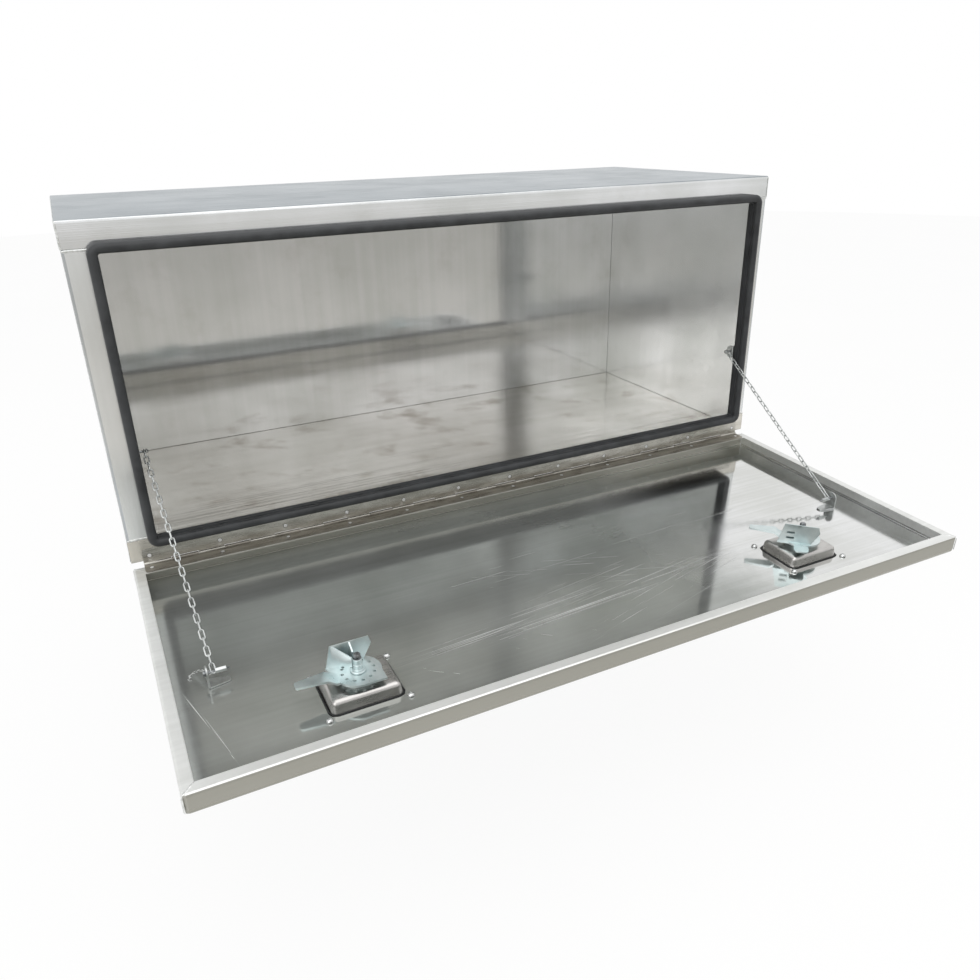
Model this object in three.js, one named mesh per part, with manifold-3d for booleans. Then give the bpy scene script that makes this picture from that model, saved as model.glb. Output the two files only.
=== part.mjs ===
// Underbody truck tool box with a drop-down door, in millimetres.
// +X right, +Y back, +Z up. The origin is the centre of the top face, where the truck's tray bears on it.
import * as THREE from 'three';
import { mergeVertices } from 'three/addons/utils/BufferGeometryUtils.js';
import Module from 'manifold-3d';

// Case
const caseWidth = 1200;
const caseDepth = 500;
const caseHeight = 500;
const caseSheet = 2;
const lipInset = 36;          // outer edge of the case to the middle of the opening's lip
const lipForward = 14;        // how far the lip stands in front of the flange
const caseBend = 3;           // bend radii at the middle of the sheet
const lipBend = 1.3;
const seat = 0.3;             // clearance between pieces that rest on or pass through each other

// Door seal
const sealWidth = 13.5;
const sealDepth = 25;
const sealCorner = 9.5;       // radius of the seal's middle line at its corners

// Piano hinge
const pinRadius = 1.5;
const knuckleRadius = 3;
const knuckleCount = 29;
const knuckleGap = 0.5;       // between neighbouring knuckles
const pinClearance = 0.25;
const leafThickness = 0.8;
const leafWidth = 22.5;
const leafCorner = 5;
const leafInset = 17;         // the hinge stops short of the case's ends
const leafGap = 0.6;          // between the two leaves when the door is closed
const hingeEdgeGap = 0.5;     // knuckle to the edges of the case and the door

// Door
const doorDrop = 2.15;        // degrees below horizontal when the chains are tight
const rimHeight = 27.5;
const doorSheet = 2;
const doorLip = 16;
const doorHingeLip = 23.5;      // lip along the hinge, wider to carry its leaf
const doorEdgeRadius = 3;

// Chain stays
const caseAnchorInset = 50;   // chain from the case's side
const caseAnchorBack = 10;    // bolt behind the case's front face
const caseAnchorHeight = 172;
const doorAnchorInset = 67;
const doorAnchorReach = 300;  // bolt from the hinge pin, along the door
const doorAnchorRise = 18.5;  // bolt above the door's inner face
const chainStagger = 8.5;     // sideways step that lets the two stretches fold past each other
const wireDiameter = 2;
const linkWidth = 8;          // outside
const linkBite = 0.4;         // how far crossing wires press into each other
const caseLinks = 10;
const doorLinks = 20;
const boltRadius = 1.6;
const boltHeadRadius = 3.6;
const boltHeadHeight = 3;
const nutHeight = 2.6;
const boltTail = 1.5;
const doorNutHeight = 14;     // long sleeve nut on the door's bolts
const doorBoltTail = 4;
const earThickness = 2;
const earWidth = 24;
const caseEarSpan = 3;        // gap between the ear and the chain's widest link
const caseEarFoot = 28;
const doorEarFoot = 27;
const doorEarWidth = 20;
const doorEarSpan = 3.5;
const earMargin = 10;         // ear past the bolt's axis

// Latches
const latchInset = 228;       // spindle from the door's side
const latchEdge = 112;        // spindle from the door's front edge
const dishLength = 95;
const dishHeight = 75;
const dishCorner = 9;
const dishSheet = 1.5;
const dishRise = 16.5;        // dish above the door's inner face
const dishBevel = 3;
const dishFlangeLength = 122;
const dishFlangeHeight = 106;
const dishFlangeCorner = 8;
const gasketThickness = 1.5;
const gasketCollar = 1.4;
const gasketRise = 1.2;
const rivetSpacingLong = 104;
const rivetSpacingShort = 88;
const rivetRadius = 2;
const rivetHeadRadius = 4.2;
const rivetHeadHeight = 2;
const housingRadius = 21;
const housingHeight = 7;
const spindleRadius = 6.8;
const spindleNeckRadius = 5;
const hubRadius = 11;
const hubHeight = 16.5;
const hubGap = 1;             // hub to the dish's floor
const threadRadius = 2.5;
const threadDepth = 14;
const camThickness = 3;
const camRadius = 30;
const camHoleRadius = 2.2;
const camHoleRing = 20.5;
const camHoleCount = 12;
const camArmReach = 80;
const camArmRoot = 23;        // arm's width at the disc
const camArmTip = 12;
const camArmShift = -2;       // arm's middle line from the spindle's
const camArmRise = 6.5;
const camArmRampStart = 31;
const camArmRampEnd = 41;
const camCornerReach = 28;    // the disc's one square corner, across and along
const camCornerDrop = 29;
const wingOffset = 20.5;      // upright wing behind the spindle
const wingThickness = 2;
const wingHeight = 34;
const wingTopLeft = 28;
const wingTopRight = 22.5;
const wingFootLeft = 36;
const wingFootRight = 12.5;
const wingShoulder = 25.5;    // its cut corner
const wingShoulderHeight = 24;
const wingSlotLength = 12;
const wingSlotHeight = 3.6;
const wingSlotLow = 8;
const wingSlotHigh = 17;
const wingSlotInset = 18;
const gussetInset = 2;        // side gusset from the wing's end
const gussetMiddleShift = -3;
const gussetLow = 21;
const gussetMiddle = 27;
const tongueWidth = 22;
const tongueReach = 26;
const tongueCorner = 6;
const sleeveRadius = 6;
const sleeveHeight = 18.5;
const sleeveFootRadius = 10;
const sleeveFootHeight = 3;
const camBoltRadius = 4.6;
const camBoltHeight = 6.5;
const handleThickness = 6;
const handleArmWidth = 4;
const handleReach = 27.5;
const handleBarWidth = 8;
const handleBarLength = 42;
const handlePinRadius = 1.5;
const handleGap = 0.8;        // handle arms to the hub
const lockRadius = 5.5;
const lockOffset = 28;        // lock cylinder from the spindle
const lockFace = 2.2;         // its face below the dish's floor
const lockRise = 4;           // its tail above the dish
const keySlotLength = 7;
const keySlotWidth = 1.4;
const keySlotDepth = 3;
const rightCamTurn = 136;     // degrees, where the photograph shows the right cam

// Facets
const fineSides = 32;
const roundSides = 16;
const smallSides = 8;
const hexSides = 6;
const knuckleSides = 10;
const cornerSteps = 4;
const bendSteps = 2;
const overrun = 1;            // cutters pass this far through what they cut
const sameSpot = 0.0001;      // points nearer than this are one point

const finishes = {
  aluminium: { color: 0xc9cccb, roughness: 0.28, metalness: 1 },
  hinge: { color: 0x8a8b86, roughness: 0.35, metalness: 1 },
  zinc: { color: 0xc3cdd2, roughness: 0.25, metalness: 1 },
  stainless: { color: 0xa8a6a1, roughness: 0.3, metalness: 1 },
  rubber: { color: 0x232526, roughness: 0.7, metalness: 0 },
  brass: { color: 0xb5a569, roughness: 0.35, metalness: 1 },
};

const wasm = await Module();
wasm.setup();

const left = -caseWidth / 2;
const right = caseWidth / 2;
const front = -caseDepth / 2;
const back = caseDepth / 2;
const bottom = -caseHeight;
const half = caseSheet / 2;

// Solids
function solidOf(geometry) {
  geometry.deleteAttribute('normal');
  geometry.deleteAttribute('uv');
  const welded = mergeVertices(geometry, sameSpot);
  const corners = welded.index.array;
  const faces = [];
  for (let i = 0; i < corners.length; i += 3) {
    const [a, b, c] = corners.slice(i, i + 3);
    if (a !== b && b !== c && c !== a) faces.push(a, b, c);
  }
  return new wasm.Manifold(new wasm.Mesh({
    numProp: 3,
    vertProperties: new Float32Array(welded.attributes.position.array),
    triVerts: new Uint32Array(faces),
  }));
}

function meshOf(solid, name, finish) {
  const data = solid.getMesh();
  const geometry = new THREE.BufferGeometry();
  geometry.setAttribute('position', new THREE.BufferAttribute(new Float32Array(data.vertProperties), 3));
  geometry.setIndex(new THREE.BufferAttribute(new Uint32Array(data.triVerts), 1));
  geometry.computeVertexNormals();
  const mesh = new THREE.Mesh(geometry, new THREE.MeshStandardMaterial(finishes[finish]));
  mesh.name = name;
  return mesh;
}

const ordered = (a, b) => (a < b ? [a, b] : [b, a]);

function block(xs, ys, zs) {
  const [[x0, x1], [y0, y1], [z0, z1]] = [ordered(...xs), ordered(...ys), ordered(...zs)];
  const geometry = new THREE.BoxGeometry(x1 - x0, y1 - y0, z1 - z0);
  return solidOf(geometry.translate((x0 + x1) / 2, (y0 + y1) / 2, (z0 + z1) / 2));
}

// A cylinder along 'x', 'y' or 'z' between two ends, centred at the other two coordinates.
function rod(axis, radius, ends, centre, sides) {
  const [low, high] = ordered(...ends);
  const geometry = new THREE.CylinderGeometry(radius, radius, high - low, sides);
  const middle = (low + high) / 2;
  if (axis === 'x') geometry.rotateZ(Math.PI / 2).translate(middle, centre[0], centre[1]);
  if (axis === 'y') geometry.translate(centre[0], middle, centre[1]);
  if (axis === 'z') geometry.rotateX(Math.PI / 2).translate(centre[0], centre[1], middle);
  return solidOf(geometry);
}

// An outline of [x, y] points, raised along z between two levels.
function prism(points, ends) {
  const [low, high] = ordered(...ends);
  const shape = new THREE.Shape(points.map(([x, y]) => new THREE.Vector2(x, y)));
  const geometry = new THREE.ExtrudeGeometry(shape, { depth: high - low, bevelEnabled: false });
  return geometry.translate(0, 0, low);
}

const alongZ = (points, ends) => solidOf(prism(points, ends));

// Outline points are [x, z], run along y.
const alongY = (points, [low, high]) => solidOf(prism(points, [-low, -high]).rotateX(Math.PI / 2));

// Outline points are [y, z], run along x.
function alongX(points, ends) {
  const axes = new THREE.Matrix4().makeBasis(
    new THREE.Vector3(0, 1, 0), new THREE.Vector3(0, 0, 1), new THREE.Vector3(1, 0, 0));
  return solidOf(prism(points, ends).applyMatrix4(axes));
}

function arc(cx, cy, radius, from, to, steps) {
  const points = [];
  for (let i = 0; i <= steps; i++) {
    const angle = THREE.MathUtils.degToRad(from + (to - from) * i / steps);
    points.push([cx + radius * Math.cos(angle), cy + radius * Math.sin(angle)]);
  }
  return points;
}

function roundedRect(width, height, radius) {
  const x = width / 2 - radius;
  const y = height / 2 - radius;
  return [
    ...arc(x, y, radius, 0, 90, bendSteps),
    ...arc(-x, y, radius, 90, 180, bendSteps),
    ...arc(-x, -y, radius, 180, 270, bendSteps),
    ...arc(x, -y, radius, 270, 360, bendSteps),
  ];
}

// A folded sheet seen edge on. The path is its middle line, and each bend is [x, y, bend radius].
function foldedSheet(path, thickness) {
  const sides = [[], []];
  path.forEach(([x, y, bend], i) => {
    const here = new THREE.Vector2(x, y);
    const towards = (j) => new THREE.Vector2(path[j][0], path[j][1]).sub(here).normalize();
    if (!bend) {
      const along = i === 0 ? towards(1) : towards(i - 1).negate();
      const across = new THREE.Vector2(-along.y, along.x).multiplyScalar(thickness / 2);
      sides[0].push(here.clone().add(across).toArray());
      sides[1].push(here.clone().sub(across).toArray());
      return;
    }
    const before = towards(i - 1);
    const after = towards(i + 1);
    const centre = here.clone().addScaledVector(before, bend).addScaledVector(after, bend);
    const turn = Math.sign(before.clone().negate().cross(after));
    const from = THREE.MathUtils.radToDeg(Math.atan2(-after.y, -after.x));
    sides.forEach((side, k) => {
      const outer = (k === 0) === (turn < 0);
      const radius = bend + (outer ? thickness / 2 : -thickness / 2);
      side.push(...arc(centre.x, centre.y, radius, from, from + turn * 90, bendSteps));
    });
  });
  return [...sides[1], ...sides[0].reverse()];
}

// Points round a rounded rectangle, each with its outward normal, counter-clockwise.
function loopStations(width, height, radius, steps) {
  const stations = [];
  const same = (a, b) => a && a.point.distanceTo(b.point) < sameSpot;
  [[1, 1], [-1, 1], [-1, -1], [1, -1]].forEach(([sx, sy], corner) => {
    for (let i = 0; i <= steps; i++) {
      const angle = (corner + i / steps) * Math.PI / 2;
      const normal = new THREE.Vector2(Math.cos(angle), Math.sin(angle));
      const point = new THREE.Vector2(sx * (width / 2 - radius), sy * (height / 2 - radius));
      const station = { point: point.addScaledVector(normal, radius), normal };
      if (!same(stations.at(-1), station)) stations.push(station);
    }
  });
  if (same(stations[0], stations.at(-1))) stations.pop();
  return stations;
}

// A closed ring: section points are (outward, z), counter-clockwise seen along the loop.
function ringGeometry(stations, section) {
  const positions = [];
  for (const { point, normal } of stations) {
    for (const [out, up] of section) {
      positions.push(point.x + normal.x * out, point.y + normal.y * out, up);
    }
  }
  const index = [];
  const count = section.length;
  stations.forEach((_, i) => {
    const here = i * count;
    const next = ((i + 1) % stations.length) * count;
    for (let k = 0; k < count; k++) {
      const m = (k + 1) % count;
      index.push(here + k, next + k, next + m, here + k, next + m, here + m);
    }
  });
  const geometry = new THREE.BufferGeometry();
  geometry.setAttribute('position', new THREE.Float32BufferAttribute(positions, 3));
  geometry.setIndex(index);
  return geometry;
}

const group = new THREE.Group();
const add = (parent, solid, name, finish) => parent.add(meshOf(solid, name, finish));

// Case: five folded sheets. The top and floor flanges run the full width, the end flanges between them.
const lipHalfWidth = caseWidth / 2 - lipInset;
const lipHalfHeight = caseHeight / 2 - lipInset;
const inside = caseSheet + seat;

function lippedPanel(flip) {
  const level = (depth) => (flip ? bottom + depth : -depth);
  const section = foldedSheet([
    [back, level(half)],
    [front + half, level(half), caseBend],
    [front + half, level(lipInset), lipBend],
    [front - lipForward, level(lipInset)],
  ], caseSheet);
  let panel = alongX(section, [left, right]);
  const levels = [level(lipInset - caseSheet), level(lipInset + caseSheet)];
  for (const side of [-1, 1]) {
    const end = [side * (lipHalfWidth - sealCorner), side * (right + overrun)];
    panel = panel.subtract(block(end, [front - lipForward - overrun, front], levels));
  }
  return panel;
}

function endPanel(side) {
  const across = (inset) => side * (right - inset);
  const section = foldedSheet([
    [across(half), back],
    [across(half), front + half, caseBend],
    [across(lipInset), front + half, lipBend],
    [across(lipInset), front - lipForward],
  ], caseSheet);
  const middle = bottom / 2;
  const flangeHalf = lipHalfHeight - half - seat;
  const wallTop = -inside;
  const wallBottom = bottom + inside;
  const cutBack = inside + caseBend;
  const wall = [
    [back, wallTop], [front + cutBack, wallTop], [front + inside, -cutBack],
    [front + inside, bottom + cutBack], [front + cutBack, wallBottom], [back, wallBottom],
  ];
  let panel = alongZ(section, [middle - flangeHalf, middle + flangeHalf]);
  panel = panel.add(alongX(wall, [across(0), across(caseSheet)]));
  const lipEnds = [across(lipInset - caseSheet), across(lipInset + caseSheet)];
  for (const end of [-1, 1]) {
    const levels = [middle + end * (lipHalfHeight - sealCorner), middle + end * caseHeight];
    panel = panel.subtract(block(lipEnds, [front - lipForward - overrun, front], levels));
  }
  return panel;
}

add(group, lippedPanel(false), 'top_panel', 'aluminium');
add(group, lippedPanel(true), 'floor_panel', 'aluminium');
add(group, endPanel(-1), 'left_end_panel', 'aluminium');
add(group, endPanel(1), 'right_end_panel', 'aluminium');
add(group, block([left + inside, right - inside], [back - caseSheet, back], [bottom + inside, -inside]),
  'back_panel', 'aluminium');

// Door seal: one moulded ring whose groove grips the lip, with a round nose towards the door.
function doorSeal() {
  const w = sealWidth / 2;
  const groove = half + seat;
  const deep = lipForward + seat;
  const nose = arc(0, sealDepth - w, w, 0, 180, cornerSteps);
  const section = [
    [groove, seat], [w, seat], ...nose, [-w, seat], [-groove, seat], [-groove, deep], [groove, deep],
  ];
  const stations = loopStations(lipHalfWidth * 2, lipHalfHeight * 2, sealCorner, cornerSteps);
  const ring = ringGeometry(stations, section);
  return solidOf(ring.rotateX(Math.PI / 2).translate(0, front, bottom / 2));
}
add(group, doorSeal(), 'door_seal', 'rubber');

// Piano hinge: the pin lies in front of and just below the case's bottom edge.
const pinForward = seat + leafThickness + leafGap / 2;
const pinBelow = knuckleRadius + hingeEdgeGap;
const pinY = front - pinForward;
const pinZ = bottom - pinBelow;
const hingeHalf = caseWidth / 2 - leafInset;
const knucklePitch = hingeHalf * 2 / knuckleCount;

// One leaf lying flat below its pin, which runs along x at the origin. The leaf spreads to +y.
function hingeLeaf(parity) {
  const high = -leafGap / 2;
  const reach = pinBelow + leafWidth;
  const bore = pinRadius + pinClearance;
  const start = bore + leafThickness / 2;
  const outline = [
    [-hingeHalf, start], [hingeHalf, start],
    ...arc(hingeHalf - leafCorner, reach - leafCorner, leafCorner, 0, 90, bendSteps),
    ...arc(-hingeHalf + leafCorner, reach - leafCorner, leafCorner, 90, 180, bendSteps),
  ];
  let leaf = alongZ(outline, [high - leafThickness, high]);
  for (let i = 0; i < knuckleCount; i++) {
    const from = -hingeHalf + i * knucklePitch;
    const to = from + knucklePitch;
    if (i % 2 === parity) {
      const ends = [from + knuckleGap / 2, to - knuckleGap / 2];
      leaf = leaf.add(rod('x', knuckleRadius, ends, [0, 0], knuckleSides));
    } else {
      const room = [-pinBelow, pinBelow];
      leaf = leaf.subtract(block([from - knuckleGap / 2, to + knuckleGap / 2], room, room));
    }
  }
  return leaf.subtract(rod('x', bore, [-hingeHalf - overrun, hingeHalf + overrun], [0, 0], smallSides));
}

const caseLeaf = meshOf(hingeLeaf(0), 'hinge_case_leaf', 'hinge');
caseLeaf.rotation.x = Math.PI / 2;
caseLeaf.position.set(0, pinY, pinZ);
group.add(caseLeaf);
add(group, rod('x', pinRadius, [-hingeHalf, hingeHalf], [pinY, pinZ], smallSides), 'hinge_pin', 'hinge');

// Door: drawn lying flat about the hinge pin, running to -y with its lips up, then dropped on its chains.
const door = new THREE.Group();
door.position.set(0, pinY, pinZ);
door.rotation.x = THREE.MathUtils.degToRad(doorDrop);
group.add(door);

const lipPlane = -leafGap / 2 - leafThickness - seat;
const doorBack = -pinBelow;
const doorFront = doorBack - caseHeight;
const doorMiddle = (doorBack + doorFront) / 2;
const skinOuter = lipPlane - rimHeight;
const skinInner = skinOuter + doorSheet;
const latchY = doorFront + latchEdge;
const cutoutGap = gasketCollar + seat * 2;
const rivetPlaces = [[-1, -1], [1, -1], [1, 1], [-1, 1]]
  .map(([a, b]) => [a * rivetSpacingLong / 2, b * rivetSpacingShort / 2]);

// A slab between two levels whose edges are rounded by the bevel.
function roundedSlab(width, height, corner, [low, high], bevel) {
  const outline = roundedRect(width - bevel * 2, height - bevel * 2, corner);
  const shape = new THREE.Shape(outline.map(([x, y]) => new THREE.Vector2(x, y)));
  const geometry = new THREE.ExtrudeGeometry(shape, {
    depth: high - low - bevel * 2,
    bevelThickness: bevel,
    bevelSize: bevel,
    bevelSegments: bendSteps,
  });
  return geometry.translate(0, 0, low + bevel);
}

function doorPan() {
  const wall = doorSheet * 2;
  const outside = roundedSlab(caseWidth, caseHeight, doorEdgeRadius, [skinOuter, lipPlane], doorEdgeRadius);
  const hollow = roundedSlab(caseWidth - wall, caseHeight - wall, doorEdgeRadius / 2,
    [skinInner, lipPlane - doorSheet], doorEdgeRadius - doorSheet);
  let pan = solidOf(outside.translate(0, doorMiddle, 0)).subtract(solidOf(hollow.translate(0, doorMiddle, 0)));
  pan = pan.subtract(block([left + doorLip, right - doorLip], [doorFront + doorLip, doorBack - doorHingeLip],
    [skinInner + doorSheet, lipPlane + overrun]));
  const through = [skinOuter - overrun, skinInner + overrun];
  for (const side of [-1, 1]) {
    const x = side * (right - latchInset);
    const hole = roundedRect(dishLength + cutoutGap * 2, dishHeight + cutoutGap * 2, dishCorner);
    pan = pan.subtract(alongZ(hole.map(([u, v]) => [x + u, latchY + v]), through));
    for (const [u, v] of rivetPlaces) {
      pan = pan.subtract(rod('z', rivetRadius + seat, through, [x + u, latchY + v], smallSides));
    }
  }
  return pan;
}
add(door, doorPan(), 'door_panel', 'aluminium');

// The door's leaf is the case's leaf turned about, so that their knuckles interleave.
const doorLeaf = meshOf(hingeLeaf(1), 'hinge_door_leaf', 'hinge');
doorLeaf.rotation.z = Math.PI;
door.add(doorLeaf);

// Chain stays. Each chain is two stretches of links, one hung from the case and one from the door.
const boltGrip = boltRadius + seat;

function chainLink(inner) {
  const radius = wireDiameter / 2;
  const middleWidth = linkWidth - wireDiameter;
  const stations = loopStations(middleWidth, inner + wireDiameter, middleWidth / 2, bendSteps);
  return ringGeometry(stations, [[radius, 0], [0, radius], [-radius, 0], [0, -radius]]);
}

// Links from the origin along -y. The first lies square to x, so that a bolt along x passes through it.
function chainStretch(count, inner) {
  let chain = null;
  for (let i = 0; i < count; i++) {
    const link = chainLink(inner);
    if (i % 2 === 0) link.rotateY(Math.PI / 2);
    link.translate(0, boltGrip - inner / 2 - i * (inner + linkBite), 0);
    chain = chain ? chain.add(solidOf(link)) : solidOf(link);
  }
  return chain;
}

function hangChain(solid, name, from, towards) {
  const mesh = meshOf(solid, name, 'zinc');
  const up = from.clone().sub(towards).normalize();
  const across = new THREE.Vector3(1, 0, 0).addScaledVector(up, -up.x).normalize();
  const third = new THREE.Vector3().crossVectors(across, up);
  mesh.quaternion.setFromRotationMatrix(new THREE.Matrix4().makeBasis(across, up, third));
  mesh.position.copy(from);
  group.add(mesh);
}

// A bolt along x through an ear, its head outboard, and the nut on its tail.
function boltAndNut(parent, name, side, ear, chain, [y, z], [height, tail]) {
  const across = (inset) => side * (right - inset);
  const head = ear - earThickness - seat;
  const nut = chain + wireDiameter;
  const shank = [across(head - boltHeadHeight / 2), across(nut + height + tail)];
  const solid = rod('x', boltHeadRadius, [across(head), across(head - boltHeadHeight)], [y, z], smallSides);
  add(parent, solid.add(rod('x', boltRadius, shank, [y, z], smallSides)), name + '_bolt', 'zinc');
  const ring = rod('x', boltHeadRadius, [across(nut), across(nut + height)], [y, z], hexSides);
  add(parent, ring.subtract(rod('x', boltGrip, shank, [y, z], smallSides)), name + '_nut', 'zinc');
}

function caseBracket(side, ear) {
  const footFront = front + caseSheet + seat;
  const earBack = front + caseAnchorBack + earMargin;
  const outline = [
    [ear - caseEarFoot, footFront], [ear, footFront], [ear, earBack], [ear - earThickness, earBack],
    [ear - earThickness, footFront + earThickness], [ear - caseEarFoot, footFront + earThickness],
  ].map(([inset, y]) => [side * (right - inset), y]);
  const z = bottom + caseAnchorHeight;
  const hole = rod('x', boltGrip, [side * (right - caseAnchorInset), side * (right - ear + caseEarFoot)],
    [front + caseAnchorBack, z], smallSides);
  return alongZ(outline, [z - earWidth / 2, z + earWidth / 2]).subtract(hole);
}

function doorBracket(side, ear) {
  const floor = skinInner + seat;
  const top = skinInner + doorAnchorRise + earMargin;
  const outline = [
    [ear - earThickness, floor], [ear + doorEarFoot, floor], [ear + doorEarFoot, floor + earThickness],
    [ear, floor + earThickness], [ear, top], [ear - earThickness, top],
  ].map(([inset, z]) => [side * (right - inset), z]);
  const y = -doorAnchorReach;
  const hole = rod('x', boltGrip, [side * (right - doorAnchorInset), side * (right - ear + doorEarFoot)],
    [y, skinInner + doorAnchorRise], smallSides);
  return alongY(outline, [y - doorEarWidth / 2, y + doorEarWidth / 2]).subtract(hole);
}

function chainStay(side) {
  const name = side < 0 ? 'left' : 'right';
  const caseEar = caseAnchorInset - linkWidth / 2 - caseEarSpan;
  const doorEar = doorAnchorInset - linkWidth / 2 - doorEarSpan;
  add(group, caseBracket(side, caseEar), name + '_case_bracket', 'zinc');
  add(door, doorBracket(side, doorEar), name + '_door_bracket', 'zinc');
  const caseBolt = new THREE.Vector3(side * (right - caseAnchorInset), front + caseAnchorBack,
    bottom + caseAnchorHeight);
  const doorBolt = new THREE.Vector3(side * (right - doorAnchorInset), -doorAnchorReach,
    skinInner + doorAnchorRise);
  boltAndNut(group, name + '_case', side, caseEar, caseAnchorInset, [caseBolt.y, caseBolt.z],
    [nutHeight, boltTail]);
  boltAndNut(door, name + '_door', side, doorEar, doorAnchorInset, [doorBolt.y, doorBolt.z],
    [doorNutHeight, doorBoltTail]);

  door.updateMatrix();
  doorBolt.applyMatrix4(door.matrix);
  const count = caseLinks + doorLinks;
  const step = (Math.abs(doorBolt.x - caseBolt.x) - chainStagger) / 2;
  const taut = doorBolt.clone().setX(caseBolt.x).distanceTo(caseBolt);
  const inner = (taut + boltGrip * 2 - (count - 1) * linkBite) / count;
  const knee = caseBolt.clone().lerp(doorBolt, caseLinks / count);
  hangChain(chainStretch(caseLinks, inner), name + '_upper_chain', caseBolt,
    knee.clone().setX(caseBolt.x - side * step));
  hangChain(chainStretch(doorLinks, inner), name + '_lower_chain', doorBolt,
    knee.clone().setX(doorBolt.x + side * step));
}

for (const side of [-1, 1]) chainStay(side);

// Latches, drawn about the spindle: z = 0 is the door's lip plane, +y towards the hinge.
const innerFace = skinInner - lipPlane;
const outerFace = skinOuter - lipPlane;
const dishTop = innerFace + dishRise;
const flangeTop = outerFace - seat * 2 - gasketThickness;
const flangeBottom = flangeTop - dishSheet;
const camLevel = dishTop + housingHeight + seat * 2;
const camTop = camLevel + camThickness;

const through = [flangeBottom - overrun, dishTop + overrun];

const dishOutline = (grow) => roundedRect(dishLength + grow, dishHeight + grow, dishCorner + grow / 2);

function cutRivetHoles(solid) {
  const hole = (place) => rod('z', rivetRadius + seat, through, place, smallSides);
  return rivetPlaces.reduce((rest, place) => rest.subtract(hole(place)), solid);
}

function dish() {
  const pocket = (grow, ends, bevel) => solidOf(
    roundedSlab(dishLength + grow, dishHeight + grow, dishCorner + grow / 2 - bevel, ends, bevel));
  const below = flangeBottom - dishBevel * 2;
  const flange = alongZ(roundedRect(dishFlangeLength, dishFlangeHeight, dishFlangeCorner),
    [flangeBottom, flangeTop]);
  const cup = pocket(0, [below, dishTop], dishBevel).subtract(
    block([-dishLength, dishLength], [-dishHeight, dishHeight], [below - overrun, flangeBottom]));
  const recess = pocket(-dishSheet * 2, [below, dishTop - dishSheet], dishBevel - dishSheet);
  const shaft = rod('z', spindleRadius + seat, through, [0, 0], roundSides);
  const lock = rod('z', lockRadius + seat, through, [0, lockOffset], roundSides);
  return cutRivetHoles(flange.add(cup).subtract(recess).subtract(shaft).subtract(lock));
}

// Gasket: a flat ring under the dish's flange with a collar up through the door's cut-out.
function gasket() {
  const high = outerFace - seat;
  const low = high - gasketThickness;
  const rise = innerFace + gasketRise;
  const pad = alongZ(roundedRect(dishFlangeLength, dishFlangeHeight, dishFlangeCorner), [low, high]);
  const collar = alongZ(dishOutline((seat + gasketCollar) * 2), [low, rise]);
  const hole = alongZ(dishOutline(seat * 2), [low - overrun, rise + overrun]);
  return cutRivetHoles(pad.add(collar).subtract(hole));
}

function rivet() {
  const inner = innerFace + seat;
  const outer = flangeBottom - seat;
  const crown = rivetHeadRadius / 2;
  const rim = rivetHeadHeight / 3;
  const points = [
    [0, outer - rivetHeadHeight], [crown, outer - rivetHeadHeight], [rivetHeadRadius, outer - rim],
    [rivetHeadRadius, outer], [rivetRadius, outer], [rivetRadius, inner], [rivetHeadRadius, inner],
    [rivetHeadRadius, inner + rim], [crown, inner + rivetHeadHeight], [0, inner + rivetHeadHeight],
  ].map(([r, z]) => new THREE.Vector2(r, z));
  return solidOf(new THREE.LatheGeometry(points, smallSides).rotateX(Math.PI / 2));
}

function housing() {
  const ends = [dishTop + seat, dishTop + seat + housingHeight];
  return rod('z', housingRadius, ends, [0, 0], fineSides)
    .subtract(rod('z', spindleRadius + seat, through.map((z) => z + housingHeight), [0, 0], roundSides));
}

const hubTop = dishTop - dishSheet - hubGap;
const hubBottom = hubTop - hubHeight;
const handleAxis = hubBottom + handleThickness / 2 + seat;
const threadBottom = camTop - threadDepth;

function spindle() {
  const hub = rod('z', hubRadius, [hubBottom, hubTop], [0, 0], fineSides);
  const shaft = rod('z', spindleRadius, [hubBottom, camLevel - seat], [0, 0], roundSides);
  const neck = rod('z', spindleNeckRadius, [hubBottom, camTop], [0, 0], roundSides);
  const thread = rod('z', threadRadius + seat, [threadBottom, camTop + overrun], [0, 0], smallSides);
  const pinHole = rod('y', handlePinRadius + seat, [-hubRadius * 2, hubRadius * 2], [0, handleAxis], smallSides);
  return hub.add(shaft).add(neck).subtract(thread).subtract(pinHole);
}

// Cam: a disc with a ring of holes and one square corner, a cranked arm, and an upright wing with two gussets.
// The hand is 1 where the arm points to -x, and -1 for its mirror image.
function camArm(hand) {
  const t = camThickness / 2;
  const mid = camLevel + t;
  const start = -camRadius / 2;
  const profile = [
    [start, mid - t], [-camArmRampStart, mid - t], [-camArmRampEnd, mid + camArmRise - t],
    [-camArmReach, mid + camArmRise - t], [-camArmReach, mid + camArmRise + t],
    [-camArmRampEnd, mid + camArmRise + t], [-camArmRampStart, mid + t], [start, mid + t],
  ].map(([x, z]) => [hand * x, z]);
  const wide = camArmRoot / 2;
  const tip = camArmTip / 2;
  const plan = [
    [start, -wide], [start, wide], [-camArmRampStart, wide], [-camArmReach + t, tip],
    [-camArmReach, tip - t], [-camArmReach, t - tip], [-camArmReach + t, -tip], [-camArmRampStart, -wide],
  ].map(([x, y]) => [hand * x, y + camArmShift]);
  return alongY(profile, [camArmShift - wide, camArmShift + wide])
    .intersect(alongZ(plan, [camLevel - overrun, camTop + camArmRise + overrun]));
}

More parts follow.
